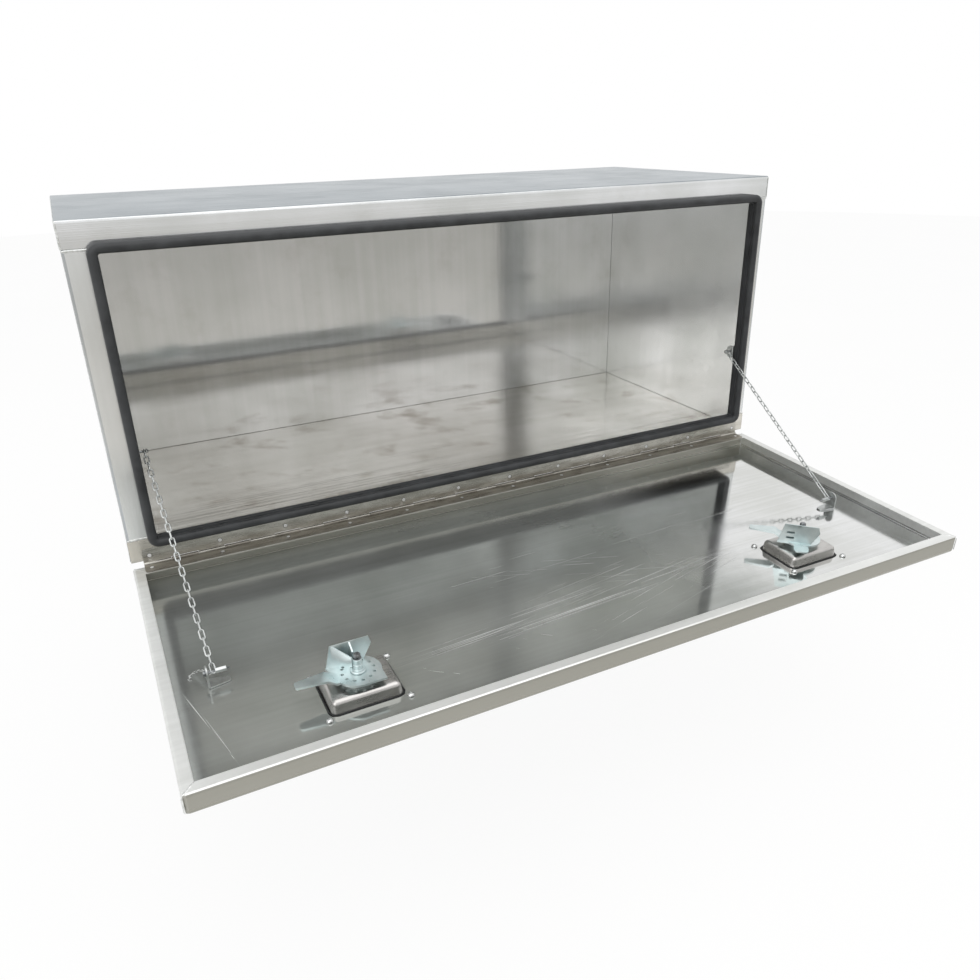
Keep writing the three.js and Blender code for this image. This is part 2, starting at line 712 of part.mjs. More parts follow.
function camWing(hand) {
  const outline = [
    [-wingFootLeft, camLevel], [wingFootRight, camLevel], [wingShoulder, camLevel + wingShoulderHeight],
    [wingTopRight, camLevel + wingHeight], [-wingTopLeft, camLevel + wingHeight],
  ].map(([x, z]) => [hand * x, z]);
  const slotXs = [wingSlotInset - wingSlotLength / 2, wingSlotInset + wingSlotLength / 2].map((x) => -hand * x);
  const slot = (level) => block(slotXs, [wingOffset - overrun, wingOffset + wingThickness + overrun],
    [camTop + level - wingSlotHeight / 2, camTop + level + wingSlotHeight / 2]);
  return alongY(outline, [wingOffset, wingOffset + wingThickness])
    .subtract(slot(wingSlotLow)).subtract(slot(wingSlotHigh));
}

// An upright fin from the wing's middle plane at x, running to a length, with a sloping top.
function camFin(x, turn, length, highAtSleeve) {
  const low = camLevel + camThickness / 2;
  const outline = [[0, low], [length, low], [length, camLevel + highAtSleeve], [0, camLevel + wingHeight]];
  const fin = prism(outline, [-wingThickness / 2, wingThickness / 2]).rotateX(Math.PI / 2).rotateZ(turn);
  return solidOf(fin.translate(x, wingOffset + wingThickness / 2, 0));
}

// The plate's web under the wing's long end, and the rounded tongue that reaches out behind the wing.
function camFeet(hand) {
  const rear = wingOffset + wingThickness;
  const web = [[-camArmRampStart, 0], [0, 0], [0, rear], [-wingFootLeft, rear], [-wingFootLeft, wingOffset],
    [-camArmRampStart, camArmTip / 2]].map(([x, y]) => [hand * x, y]);
  const side = tongueWidth / 2;
  const end = rear + tongueReach;
  const tongue = [
    [-side, wingOffset], [side, wingOffset],
    ...arc(side - tongueCorner, end - tongueCorner, tongueCorner, 0, 90, cornerSteps),
    ...arc(tongueCorner - side, end - tongueCorner, tongueCorner, 90, 180, cornerSteps),
  ];
  return alongZ(web, [camLevel, camTop]).add(alongZ(tongue, [camLevel, camLevel + wingThickness]));
}

function cam(hand) {
  const thick = [camLevel, camTop];
  const wingMiddle = wingOffset + wingThickness / 2;
  const finX = wingTopLeft - gussetInset;
  const clear = sleeveRadius + seat + wingThickness / 2;
  const slope = Math.atan2(wingMiddle, finX);
  let solid = rod('z', camRadius, thick, [0, 0], fineSides)
    .add(block([0, hand * camCornerReach], [-camCornerDrop, 0], thick))
    .add(camArm(hand))
    .add(camWing(hand))
    .add(camFin(-hand * finX, hand > 0 ? -slope : Math.PI + slope,
      Math.hypot(finX, wingMiddle) - clear, gussetLow))
    .add(camFin(hand * gussetMiddleShift, -Math.PI / 2, wingMiddle - clear, gussetMiddle))
    .add(camFeet(hand));
  // the sleeve's foot stands on the plate, so the gussets are cut away round it
  solid = solid.subtract(rod('z', sleeveFootRadius + seat, [camTop, camTop + sleeveFootHeight + seat * 2],
    [0, 0], roundSides));
  const bored = [camLevel - overrun, camTop + overrun];
  for (let i = 0; i < camHoleCount; i++) {
    const angle = 2 * Math.PI * i / camHoleCount;
    const place = [camHoleRing * Math.cos(angle), camHoleRing * Math.sin(angle)];
    if (place[1] + camHoleRadius < wingOffset) {
      solid = solid.subtract(rod('z', camHoleRadius, bored, place, smallSides));
    }
  }
  return solid.subtract(rod('z', spindleNeckRadius + seat, bored, [0, 0], roundSides));
}

const sleeveLow = camTop + seat;
const sleeveTop = sleeveLow + sleeveHeight;

function sleeve() {
  const bore = [sleeveLow - overrun, sleeveTop + overrun];
  return rod('z', sleeveRadius, [sleeveLow, sleeveTop], [0, 0], roundSides)
    .add(rod('z', sleeveFootRadius, [sleeveLow, sleeveLow + sleeveFootHeight], [0, 0], roundSides))
    .subtract(rod('z', threadRadius + seat, bore, [0, 0], smallSides));
}

function camBolt() {
  const low = sleeveTop + seat;
  return rod('z', camBoltRadius, [low, low + camBoltHeight], [0, 0], hexSides)
    .add(rod('z', threadRadius, [threadBottom + seat, low + overrun], [0, 0], smallSides));
}

// Folding handle, drawn folded: two arms astride the hub and a cross bar towards +y.
const armIn = hubRadius + handleGap;
const armOut = armIn + handleArmWidth;

function handle() {
  const r = handleThickness / 2;
  const levels = [handleAxis - r, handleAxis + r];
  let solid = block([-handleBarLength / 2, handleBarLength / 2], [handleReach - handleBarWidth, handleReach],
    levels);
  for (const side of [-1, 1]) {
    const xs = [side * armIn, side * armOut];
    solid = solid.add(block(xs, [0, handleReach - r], levels)).add(rod('x', r, xs, [0, handleAxis], roundSides));
  }
  return solid.subtract(rod('x', handlePinRadius + seat, [-armOut - overrun, armOut + overrun],
    [0, handleAxis], smallSides));
}

function lockCylinder() {
  const face = dishTop - dishSheet - lockFace;
  const slot = block([-keySlotLength / 2, keySlotLength / 2], [-keySlotWidth / 2, keySlotWidth / 2],
    [face - overrun, face + keySlotDepth]);
  return rod('z', lockRadius, [face, dishTop + lockRise], [0, 0], roundSides).subtract(slot);
}

function latch(side) {
  const name = side < 0 ? 'left' : 'right';
  const base = new THREE.Group();
  base.position.set(side * (right - latchInset), latchY, lipPlane);
  door.add(base);
  add(base, dish(), name + '_latch_dish', 'stainless');
  add(base, gasket(), name + '_latch_gasket', 'rubber');
  add(base, housing(), name + '_latch_housing', 'zinc');
  const lock = meshOf(lockCylinder(), name + '_lock_cylinder', 'brass');
  lock.position.y = lockOffset;
  base.add(lock);
  rivetPlaces.forEach(([x, y], i) => {
    const mesh = meshOf(rivet(), name + '_latch_rivet_' + (i + 1), 'stainless');
    mesh.position.set(x, y, 0);
    base.add(mesh);
  });
  const hand = -side;
  const turning = new THREE.Group();
  if (side > 0) turning.rotation.z = THREE.MathUtils.degToRad(rightCamTurn);
  base.add(turning);
  add(turning, spindle(), name + '_latch_spindle', 'stainless');
  add(turning, cam(hand), name + '_latch_cam', 'zinc');
  add(turning, sleeve(), name + '_cam_sleeve', 'zinc');
  add(turning, camBolt(), name + '_cam_bolt', 'zinc');
  const grip = new THREE.Group();
  grip.rotation.z = -hand * Math.PI / 2;
  turning.add(grip);
  add(grip, handle(), name + '_latch_handle', 'stainless');
  add(grip, rod('x', handlePinRadius, [-armOut, armOut], [0, handleAxis], smallSides),
    name + '_handle_pin', 'stainless');
}

for (const side of [-1, 1]) latch(side);

export default group;
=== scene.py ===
import math
import bpy
import bmesh
from mathutils import Matrix, Vector


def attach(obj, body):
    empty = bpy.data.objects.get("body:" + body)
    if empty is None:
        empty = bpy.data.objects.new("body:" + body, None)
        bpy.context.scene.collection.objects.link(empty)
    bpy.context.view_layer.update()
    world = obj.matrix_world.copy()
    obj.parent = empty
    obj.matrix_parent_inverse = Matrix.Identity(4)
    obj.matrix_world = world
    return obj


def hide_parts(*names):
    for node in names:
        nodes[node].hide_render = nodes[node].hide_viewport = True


# Underbody truck tool box with its door down on two chains.
# Lengths in the dictionaries are millimetres and angles degrees; Blender's own lengths are metres.
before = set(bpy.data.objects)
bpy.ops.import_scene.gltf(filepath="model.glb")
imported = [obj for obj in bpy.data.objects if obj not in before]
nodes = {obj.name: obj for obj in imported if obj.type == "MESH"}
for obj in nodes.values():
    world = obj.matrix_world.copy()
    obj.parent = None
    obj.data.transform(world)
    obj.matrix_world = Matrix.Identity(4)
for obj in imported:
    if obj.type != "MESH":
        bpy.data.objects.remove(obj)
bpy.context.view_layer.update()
mm = 0.001
print("frame loaded:", len(nodes), "nodes")

# Where things are: x across, y from front to back, z up; the case's top is at z = 0. The door's levels and edges
# are measured from the hinge pin, in the plane of the open door, which drops a little below level.
case = {"width": 1200, "depth": 500, "height": 500, "flange": 36, "sheet": 2}
hingeLine = {"y": -251.4, "z": -503.5, "drop": 2.15}
door = {"lip": -1.4, "skinInner": -26.9, "skinOuter": -28.9, "back": -3.5, "front": -503.5, "sheet": 2}
doorPlace = Matrix.Translation((0, hingeLine["y"], hingeLine["z"])) @ Matrix.Rotation(
    math.radians(hingeLine["drop"]), 4, "X")
sides = {"left": -1, "right": 1}

# The camera, at the photograph's place.
photoView = {"lens": 30.108, "sensor": 36, "yaw": 26.068, "pitch": 24.178, "roll": -1.317,
             "place": (-589.8, -1473.8, 102.4), "nearest": 50, "farthest": 60000}


def aimCamera(view):
    yaw, pitch, roll = (math.radians(view[key]) for key in ("yaw", "pitch", "roll"))
    forward = Vector((math.sin(yaw) * math.cos(pitch), math.cos(yaw) * math.cos(pitch), -math.sin(pitch)))
    level = Vector((math.cos(yaw), -math.sin(yaw), 0))
    above = level.cross(forward)
    right = level * math.cos(roll) + above * math.sin(roll)
    up = above * math.cos(roll) - level * math.sin(roll)
    data = bpy.data.cameras.new("photoCamera")
    data.lens, data.sensor_width = view["lens"], view["sensor"]
    data.clip_start, data.clip_end = view["nearest"] * mm, view["farthest"] * mm
    camera = bpy.data.objects.new("photoCamera", data)
    bpy.context.collection.objects.link(camera)
    turned = Matrix((right, up, -forward)).transposed().to_4x4()
    camera.matrix_world = Matrix.Translation(Vector(view["place"]) * mm) @ turned
    bpy.context.scene.camera = camera


aimCamera(photoView)


# Colours and nodes.
def linear(hexColour):
    channels = [int(hexColour[i:i + 2], 16) / 255 for i in (1, 3, 5)]
    return [c / 12.92 if c <= 0.04045 else ((c + 0.055) / 1.055) ** 2.4 for c in channels] + [1.0]


# adds a node with its settings; a value that is another node's output is linked, any other is set
def addNode(tree, kind, values, **settings):
    node = tree.nodes.new("ShaderNode" + kind)
    for name, value in settings.items():
        setattr(node, name, value)
    for name, value in values.items():
        if isinstance(value, bpy.types.NodeSocket):
            tree.links.new(value, node.inputs[name])
        else:
            node.inputs[name].default_value = value
    return node.outputs


def startFinish(name, metallic, roughness):
    finish = bpy.data.materials.new(name)
    finish.use_nodes = True
    tree = finish.node_tree
    shader = tree.nodes["Principled BSDF"]
    shader.inputs["Metallic"].default_value = metallic
    shader.inputs["Roughness"].default_value = roughness
    return finish, tree, shader, addNode(tree, "TexCoord", {})["Object"]


def feedShader(tree, shader, values):
    for name, value in values.items():
        tree.links.new(value, shader.inputs[name])


# size of a pattern in metres: long one way, short the other two
def drawnOut(way, long, short):
    return [long * mm if axis == way else short * mm for axis in "xyz"]


# Mill-finish aluminium sheet, off the rolling mill: nearly a mirror, with fine parallel lines and soft streaks
# the way it was rolled, cloudy from handling. The lines are drawn about 2 mm apart, coarser than the real ones.
# A pair of colours is a metal's dark and pale tone, a pair of sizes a pattern's length and width.
# one pair of colours is painted shade, the darker tone of the case's outward faces
rolledLook = {"clean": ("#E8EAE9", "#F8F9FA"), "used": ("#D0CCC3", "#EAE7E0"), "paintedOuterShade": ("#B2B7BA", "#D2D6D8"),
              "stain": "#A2988A", "line": (340, 1.8), "streak": (900, 15), "row": (600, 7.5), "cloud": 190,
              "smudge": 75, "easedEdge": 1.6, "opening": (0, -250, -250), "paintedOuterShadeFrom": 80, "paintedOuterShadeTo": 200}


# stain is how strongly the smudges show, ridges and lineDepth are heights in millimetres, bare is the share that
# no dust or oxide covers, and slant is the tint of the sheet seen at a low angle
def rolledSheet(name, way, roughness, shade="clean", stain=0.1, ridges=0.0, lineDepth=0.02, bare=1.0,
                slant="#FFFFFF"):
    finish, tree, shader, spot = startFinish(name, bare, roughness)
    shader.inputs["Specular Tint"].default_value = linear(slant)
    r = rolledLook
    lines, streaks = (addNode(tree, "Mapping", {"Vector": spot, "Scale": drawnOut(way, *size)},
                              vector_type="TEXTURE")["Vector"] for size in (r["line"], r["streak"]))
    thread = addNode(tree, "TexNoise", {"Vector": lines, "Scale": 1.0, "Detail": 2.0})["Fac"]
    streak = addNode(tree, "TexNoise", {"Vector": streaks, "Scale": 1.0, "Detail": 3.0})["Fac"]
    cloud = addNode(tree, "TexNoise", {"Vector": spot, "Scale": 1000 / r["cloud"], "Detail": 4.0})["Fac"]
    smudge = addNode(tree, "TexNoise", {"Vector": spot, "Scale": 1000 / r["smudge"], "Detail": 7.0,
                                        "Roughness": 0.62})["Fac"]
    both = addNode(tree, "Math", {0: streak, 1: 0.4, 2: cloud}, operation="MULTIPLY_ADD")[0]
    tone = addNode(tree, "MapRange", {"Value": both, "From Min": 0.52, "From Max": 0.86})["Result"]
    metal, paintedOuterShadeTone = (addNode(tree, "Mix", {0: tone, 6: linear(dark), 7: linear(pale)}, data_type="RGBA")[2]
                     for dark, pale in (r[shade], r["paintedOuterShade"]))
    # painted shade: the faces that look away from the middle of the opening are darker, and most those far out from
    # it, for the dimmer reflections they show
    away = addNode(tree, "VectorMath", {0: spot, 1: [v * mm for v in r["opening"]]}, operation="SUBTRACT")["Vector"]
    facing = addNode(tree, "TexCoord", {})["Normal"]
    outward = addNode(tree, "VectorMath", {0: away, 1: facing}, operation="DOT_PRODUCT")["Value"]
    outside = addNode(tree, "MapRange", {"Value": outward, "From Min": r["paintedOuterShadeFrom"] * mm,
                                         "From Max": r["paintedOuterShadeTo"] * mm})["Result"]
    metal = addNode(tree, "Mix", {0: outside, 6: metal, 7: paintedOuterShadeTone}, data_type="RGBA")[2]
    dirt = addNode(tree, "MapRange", {"Value": smudge, "From Min": 0.55, "From Max": 0.72, "To Max": stain})["Result"]
    colour = addNode(tree, "Mix", {0: dirt, 6: metal, 7: linear(r["stain"])}, data_type="RGBA")[2]
    worn = addNode(tree, "Math", {0: both, 1: smudge}, operation="ADD")[0]
    rough = addNode(tree, "MapRange", {"Value": worn, "From Min": 0.95, "From Max": 1.45, "To Min": roughness * 1.3,
                                       "To Max": roughness * 0.75})["Result"]
    normal = addNode(tree, "Bevel", {"Radius": r["easedEdge"] * mm}, samples=4)["Normal"]
    if ridges:
        # rows pressed in by the mill's rollers, about 8 mm apart
        rows = addNode(tree, "Mapping", {"Vector": spot, "Scale": drawnOut(way, *r["row"])},
                       vector_type="TEXTURE")["Vector"]
        row = addNode(tree, "TexNoise", {"Vector": rows, "Scale": 1.0, "Detail": 1.0})["Fac"]
        normal = addNode(tree, "Bump", {"Height": row, "Normal": normal, "Distance": ridges * mm})["Normal"]
    normal = addNode(tree, "Bump", {"Height": thread, "Normal": normal, "Distance": lineDepth * mm})["Normal"]
    feedShader(tree, shader, {"Base Color": colour, "Roughness": rough, "Normal": normal})
    return finish


# Bright rolled aluminium of the door: close to a mirror, clouded by wiping, and scored by tools that were slid
# over it. The scratches lie in bundles; each is drawn 1.5 mm wide or more, because a real one is too fine to see.
# the second pair of colours is painted reflection: a darker skin for the dark surroundings that the door mirrors
doorLook = {"skin": ("#D9DAD7", "#EEEFEF"), "paintedReflection": ("#A5A8A4", "#BABDBA"), "lips": ("#DADBD8", "#EEEFED"),
            # the colour for the narrow front side is a painted reflection of the ground
            "scratch": "#E6E7E6", "paintedFrontReflection": "#97958A", "paintedFrontReflectionShare": 0.85, "bare": 0.7,
            "skinRough": 0.085, "paintedReflectionRough": 0.08, "lipRough": 0.34, "scratchRough": 0.36, "scratchDepth": 0.03,
            "paintedReflectionFrom": 470, "paintedReflectionTo": 250, "paintedReflectionRagged": 240, "foldFrom": -519.6, "foldTo": -516.8,
            "cloud": 200, "streak": (500, 7), "easedEdge": 1.2}
# each bundle: middle, half length, half width, turn, line length and width, and the noise it takes to scratch
scratches = (
    {"at": (-20, -604), "reach": 330, "wide": 30, "turn": 3.6, "long": 300, "fine": 1.6, "least": 0.60},
    {"at": (60, -585), "reach": 300, "wide": 62, "turn": 8.0, "long": 240, "fine": 1.7, "least": 0.66},
    {"at": (120, -640), "reach": 210, "wide": 40, "turn": 15.0, "long": 180, "fine": 1.6, "least": 0.65},
    {"at": (50, -560), "reach": 290, "wide": 110, "turn": -20.0, "long": 130, "fine": 1.5, "least": 0.71},
    {"at": (-200, -620), "reach": 260, "wide": 130, "turn": -38.0, "long": 60, "fine": 1.5, "least": 0.735},
    {"at": (-555, -633), "reach": 90, "wide": 5, "turn": -76.0, "long": 160, "fine": 1.6, "least": 0.57},
    {"at": (100, -470), "reach": 420, "wide": 40, "turn": 2.0, "long": 200, "fine": 1.6, "least": 0.66},
)
scratchLevel = -543  # the skin's z about its middle
# the curved rub that the left chain bracket's free end has worn; its back fades out
rub = {"at": (-549, -528), "radius": 13, "wide": 2.2, "fade": 8, "hatchesPerMetre": 420}


def onSkin(place):
    return [v * mm for v in (*place, scratchLevel)]


def doorSheet(name):
    d = doorLook
    finish, tree, shader, spot = startFinish(name, 1.0, d["skinRough"])
    streaks = addNode(tree, "Mapping", {"Vector": spot, "Scale": drawnOut("x", *d["streak"])},
                      vector_type="TEXTURE")["Vector"]
    streak = addNode(tree, "TexNoise", {"Vector": streaks, "Scale": 1.0, "Detail": 3.0})["Fac"]
    cloud = addNode(tree, "TexNoise", {"Vector": spot, "Scale": 1000 / d["cloud"], "Detail": 6.0,
                                       "Roughness": 0.58})["Fac"]
    # a ring where the distance from its middle is near the radius, broken by noise
    away = addNode(tree, "VectorMath", {0: spot, 1: onSkin(rub["at"])}, operation="DISTANCE")["Value"]
    off = addNode(tree, "Math", {0: away, 1: rub["radius"] * mm, 2: rub["wide"] * mm}, operation="COMPARE")[0]
    hatch = addNode(tree, "TexNoise", {"Vector": spot, "Scale": rub["hatchesPerMetre"], "Detail": 1.0})["Fac"]
    worn = addNode(tree, "MapRange", {"Value": hatch, "From Min": 0.46, "From Max": 0.6})["Result"]
    place = addNode(tree, "SeparateXYZ", {"Vector": spot})
    swept = addNode(tree, "MapRange", {"Value": place["Y"], "From Min": (rub["at"][1] - rub["fade"]) * mm,
                                       "From Max": rub["at"][1] * mm})["Result"]
    marks = addNode(tree, "Math", {0: off, 1: worn}, operation="MULTIPLY")[0]
    marks = addNode(tree, "Math", {0: marks, 1: swept}, operation="MULTIPLY")[0]
    for index, s in enumerate(scratches):
        turned = (0, 0, math.radians(s["turn"]))
        field = addNode(tree, "Mapping", {"Vector": spot, "Location": onSkin(s["at"]), "Rotation": turned,
                                          "Scale": (s["reach"] * mm, s["wide"] * mm, 1)}, vector_type="TEXTURE")
        away = addNode(tree, "VectorMath", {0: field["Vector"]}, operation="LENGTH")["Value"]
        inside = addNode(tree, "MapRange", {"Value": away, "From Min": 0.55, "From Max": 1.0, "To Min": 1.0,
                                            "To Max": 0.0})["Result"]
        drawn = addNode(tree, "Mapping", {"Vector": spot, "Location": (index, index, 0), "Rotation": turned,
                                          "Scale": (s["long"] * mm, s["fine"] * mm, 1)}, vector_type="TEXTURE")
        line = addNode(tree, "TexNoise", {"Vector": drawn["Vector"], "Scale": 1.0, "Detail": 2.0})["Fac"]
        scored = addNode(tree, "MapRange", {"Value": line, "From Min": s["least"],
                                            "From Max": s["least"] + 0.05})["Result"]
        kept = addNode(tree, "Math", {0: inside, 1: scored}, operation="MULTIPLY")[0]
        marks = addNode(tree, "Math", {0: marks, 1: kept}, operation="MAXIMUM")[0]
    # only the face that looks up when the door is down has been scored
    facing = addNode(tree, "SeparateXYZ", {"Vector": addNode(tree, "TexCoord", {})["Normal"]})
    inside = addNode(tree, "MapRange", {"Value": facing["Z"], "From Min": 0.2, "From Max": 0.7})["Result"]
    marks = addNode(tree, "Math", {0: marks, 1: inside}, operation="MULTIPLY")[0]
    both = addNode(tree, "Math", {0: streak, 1: 0.4, 2: cloud}, operation="MULTIPLY_ADD")[0]
    tone = addNode(tree, "MapRange", {"Value": both, "From Min": 0.52, "From Max": 0.88})["Result"]
    metal, paintedReflectionTone, lips = (addNode(tree, "Mix", {0: tone, 6: linear(dark), 7: linear(pale)}, data_type="RGBA")[2]
                          for dark, pale in (d["skin"], d["paintedReflection"], d["lips"]))
    # painted reflection: the skin is a darker grey, for the dark surroundings that it mirrors, but for its right end,
    # which is left bright
    edge = addNode(tree, "Math", {0: cloud, 1: d["paintedReflectionRagged"] * mm, 2: place["X"]}, operation="MULTIPLY_ADD")[0]
    paintedReflection = addNode(tree, "MapRange", {"Value": edge, "From Min": d["paintedReflectionFrom"] * mm, "From Max": d["paintedReflectionTo"] * mm},
                   interpolation_type="SMOOTHSTEP")["Result"]
    metal = addNode(tree, "Mix", {0: paintedReflection, 6: metal, 7: paintedReflectionTone}, data_type="RGBA")[2]
    # the folded sides and lips are duller than the flat skin, which lies in one sloping plane
    drop = math.radians(hingeLine["drop"])
    height = addNode(tree, "VectorMath", {0: spot, 1: (0, -math.sin(drop), math.cos(drop))},
                     operation="DOT_PRODUCT")["Value"]
    folded = addNode(tree, "MapRange", {"Value": height, "From Min": d["foldFrom"] * mm,
                                        "From Max": d["foldTo"] * mm})["Result"]
    metal = addNode(tree, "Mix", {0: folded, 6: metal, 7: lips}, data_type="RGBA")[2]
    colour = addNode(tree, "Mix", {0: marks, 6: metal, 7: linear(d["scratch"])}, data_type="RGBA")[2]
    least = addNode(tree, "Mix", {0: paintedReflection, 2: d["skinRough"], 3: d["paintedReflectionRough"]})[0]
    wiped = addNode(tree, "MapRange", {"Value": cloud, "From Min": 0.35, "From Max": 0.68, "To Min": 0.7,
                                       "To Max": 1.7})["Result"]
    wiped = addNode(tree, "Math", {0: wiped, 1: least}, operation="MULTIPLY")[0]
    paintedReflectionOrFold = addNode(tree, "Math", {0: paintedReflection, 1: folded}, operation="MAXIMUM")[0]
    bare = addNode(tree, "MapRange", {"Value": paintedReflectionOrFold, "To Min": 1.0, "To Max": d["bare"]})["Result"]
    plain = addNode(tree, "Math", {0: marks, 1: d["scratchRough"], 2: wiped}, operation="MULTIPLY_ADD")[0]
    rough = addNode(tree, "Mix", {0: folded, 2: plain, 3: d["lipRough"]})[0]
    # painted reflection: the narrow front side is darker and browner, for the ground in front that it mirrors
    paintedFrontReflection = addNode(tree, "MapRange", {"Value": facing["Y"], "From Min": -0.95, "From Max": -0.6,
                                         "To Min": d["paintedFrontReflectionShare"], "To Max": 0.0})["Result"]
    colour = addNode(tree, "Mix", {0: paintedFrontReflection, 6: colour, 7: linear(d["paintedFrontReflection"])}, data_type="RGBA")[2]
    eased = addNode(tree, "Bevel", {"Radius": d["easedEdge"] * mm}, samples=4)["Normal"]
    normal = addNode(tree, "Bump", {"Height": marks, "Normal": eased, "Distance": d["scratchDepth"] * mm})["Normal"]
    feedShader(tree, shader, {"Base Color": colour, "Metallic": bare, "Roughness": rough, "Normal": normal})
    return finish


# Black EPDM rubber, extruded or moulded: matt, finely pored, with a bloom of dust. The pores are drawn coarser
# than the real ones, which are too fine to see.
rubberLook = {"bloom": 35, "pore": 1.2, "poreDepth": 0.15}


def rubber(name, dark, pale, roughness):
    finish, tree, shader, spot = startFinish(name, 0.0, roughness)
    dust = addNode(tree, "TexNoise", {"Vector": spot, "Scale": 1000 / rubberLook["bloom"], "Detail": 5.0})["Fac"]
    pores = addNode(tree, "TexNoise", {"Vector": spot, "Scale": 1000 / rubberLook["pore"], "Detail": 2.0})["Fac"]
    bloom = addNode(tree, "MapRange", {"Value": dust, "From Min": 0.35, "From Max": 0.75})["Result"]
    colour = addNode(tree, "Mix", {0: bloom, 6: linear(dark), 7: linear(pale)}, data_type="RGBA")[2]
    rough = addNode(tree, "MapRange", {"Value": dust, "From Min": 0.3, "From Max": 0.7, "To Min": roughness - 0.08,
                                       "To Max": roughness + 0.12})["Result"]
    normal = addNode(tree, "Bump", {"Height": pores, "Strength": 0.25,
                                    "Distance": rubberLook["poreDepth"] * mm})["Normal"]
    feedShader(tree, shader, {"Base Color": colour, "Roughness": rough, "Normal": normal})
    return finish


# Worked metal parts: the tone drifts in patches and fine marks catch the light. patch and mark are their sizes
# along x, y and z, depth is that of the marks and edge the radius that light finds on an edge, in millimetres.
def workedMetal(name, dark, pale, roughness, patch, mark, depth=0.02, edge=0):
    finish, tree, shader, spot = startFinish(name, 1.0, roughness)
    patches, marks = (addNode(tree, "Mapping", {"Vector": spot, "Scale": [v * mm for v in size]},
                              vector_type="TEXTURE")["Vector"] for size in (patch, mark))
    drift = addNode(tree, "TexNoise", {"Vector": patches, "Scale": 1.0, "Detail": 4.0})["Fac"]
    fine = addNode(tree, "TexNoise", {"Vector": marks, "Scale": 1.0, "Detail": 3.0})["Fac"]
    tone = addNode(tree, "MapRange", {"Value": drift, "From Min": 0.32, "From Max": 0.68})["Result"]
    colour = addNode(tree, "Mix", {0: tone, 6: linear(dark), 7: linear(pale)}, data_type="RGBA")[2]
    both = addNode(tree, "Math", {0: drift, 1: fine}, operation="ADD")[0]
    rough = addNode(tree, "MapRange", {"Value": both, "From Min": 0.7, "From Max": 1.3, "To Min": roughness * 0.75,
                                       "To Max": roughness * 1.3})["Result"]
    bump = {"Height": fine, "Distance": depth * mm}
    if edge:
        bump["Normal"] = addNode(tree, "Bevel", {"Radius": edge * mm}, samples=4)["Normal"]
    normal = addNode(tree, "Bump", bump)["Normal"]
    feedShader(tree, shader, {"Base Color": colour, "Roughness": rough, "Normal": normal})
    return finish


finishes = {
    "top": rolledSheet("rolledAluminiumTop", "x", 0.14, slant="#BCC2C6"),
    "floor": rolledSheet("rolledAluminiumFloor", "x", 0.15, shade="used", stain=0.85, ridges=0.45, bare=0.82),
    "end": rolledSheet("rolledAluminiumEnd", "z", 0.19, stain=0.04, bare=0.78),
    "back": rolledSheet("rolledAluminiumBack", "z", 0.065, stain=0.12, lineDepth=0.065, bare=0.7),
    "door": doorSheet("brightRolledAluminium"),
    "seal": rubber("extrudedRubber", "#232527", "#3F4143", 0.5),
    "gasket": rubber("mouldedRubber", "#1F2021", "#303132", 0.6),
    # mild steel strip rolled into a hinge, bright but dulled by handling
    "hinge": workedMetal("rolledHingeSteel", "#A9A69E", "#CFCDC6", 0.26, (40, 8, 8), (60, 0.8, 0.8), edge=0.4),
    # the same strip on the door, painted darker: a painted reflection of the dark surroundings that this leaf mirrors
    "paintedReflectionHinge": workedMetal("paintedReflectionHingeSteel", "#86827A", "#ACA89F", 0.3, (40, 8, 8), (60, 0.8, 0.8), edge=0.4),
    # zinc plate with a clear blue passivation: smooth, satin, pale and faintly blue
    "zinc": workedMetal("clearZincPlate", "#C3D1D2", "#DFE8E8", 0.36, (26, 26, 26), (2, 2, 2), depth=0.006),
    # bright zinc on welded chain wire
    "chain": workedMetal("brightZincWire", "#B2B5B4", "#DADDDC", 0.34, (14, 14, 14), (1, 1, 1), depth=0.01),
    # painted shade for the groove round each hinge rivet, with grease and dust held in that ring
    "paintedRivetShadeAndGrime": workedMetal("paintedShadeGreasyRivetSeat", "#2F2D29", "#45423C", 0.5, (3, 3, 3), (1, 1, 1)),
    # stainless dish, pressed and then brushed along its length
    "stainless": workedMetal("brushedStainless", "#B9B7B4", "#D3D1CE", 0.3, (60, 30, 30), (60, 0.9, 0.9),
                             depth=0.004),
    # plain steel bolts, cold headed, with rolled threads that oil has darkened
    "bolt": workedMetal("darkBoltSteel", "#6E7072", "#A9ACAE", 0.32, (4, 4, 4), (1, 1, 1)),
    # brass, turned on a lathe: yellow, with fine tool marks
    "brass": workedMetal("machinedBrass", "#A08C4E", "#CDBB7C", 0.3, (5, 5, 5), (1, 1, 1)),
    # aluminium weld, rippled and left as welded
    "weld": workedMetal("asWeldedAluminium", "#C9CBC8", "#F4F5F4", 0.34, (4, 4, 4), (1.4, 1.4, 1.4), depth=0.06),
    # drawn aluminium rivets, bright on their domes
    "rivet": workedMetal("drawnAluminiumRivet", "#C2C4C3", "#E8E9E9", 0.24, (3, 3, 3), (1, 1, 1)),
    # the flat hinge rivets, matt from their setting tool
    "flatRivet": workedMetal("setAluminiumRivet", "#EDEEEE", "#FBFBFB", 0.5, (3, 3, 3), (1, 1, 1)),
}
print("finishes ready:", len(finishes))


# Shapes are points in millimetres, gathered before they become one mesh.
def newShape():
    return {"points": [], "faces": []}


# joins rings of points; loop closes the last ring on the first, otherwise the two ends are shut
def addRings(shape, rings, loop=False, place=Matrix()):
    first, count, total = len(shape["points"]), len(rings[0]), len(rings)
    for ring in rings:
        shape["points"] += [place @ Vector(point) for point in ring]
    for r in range(total if loop else total - 1):
        a, b = first + r * count, first + (r + 1) % total * count
        shape["faces"] += [(a + k, a + (k + 1) % count, b + (k + 1) % count, b + k) for k in range(count)]
    if not loop:
        shape["faces"] += [tuple(first + k for k in range(count))[::-1],
                           tuple(first + (total - 1) * count + k for k in range(count))]


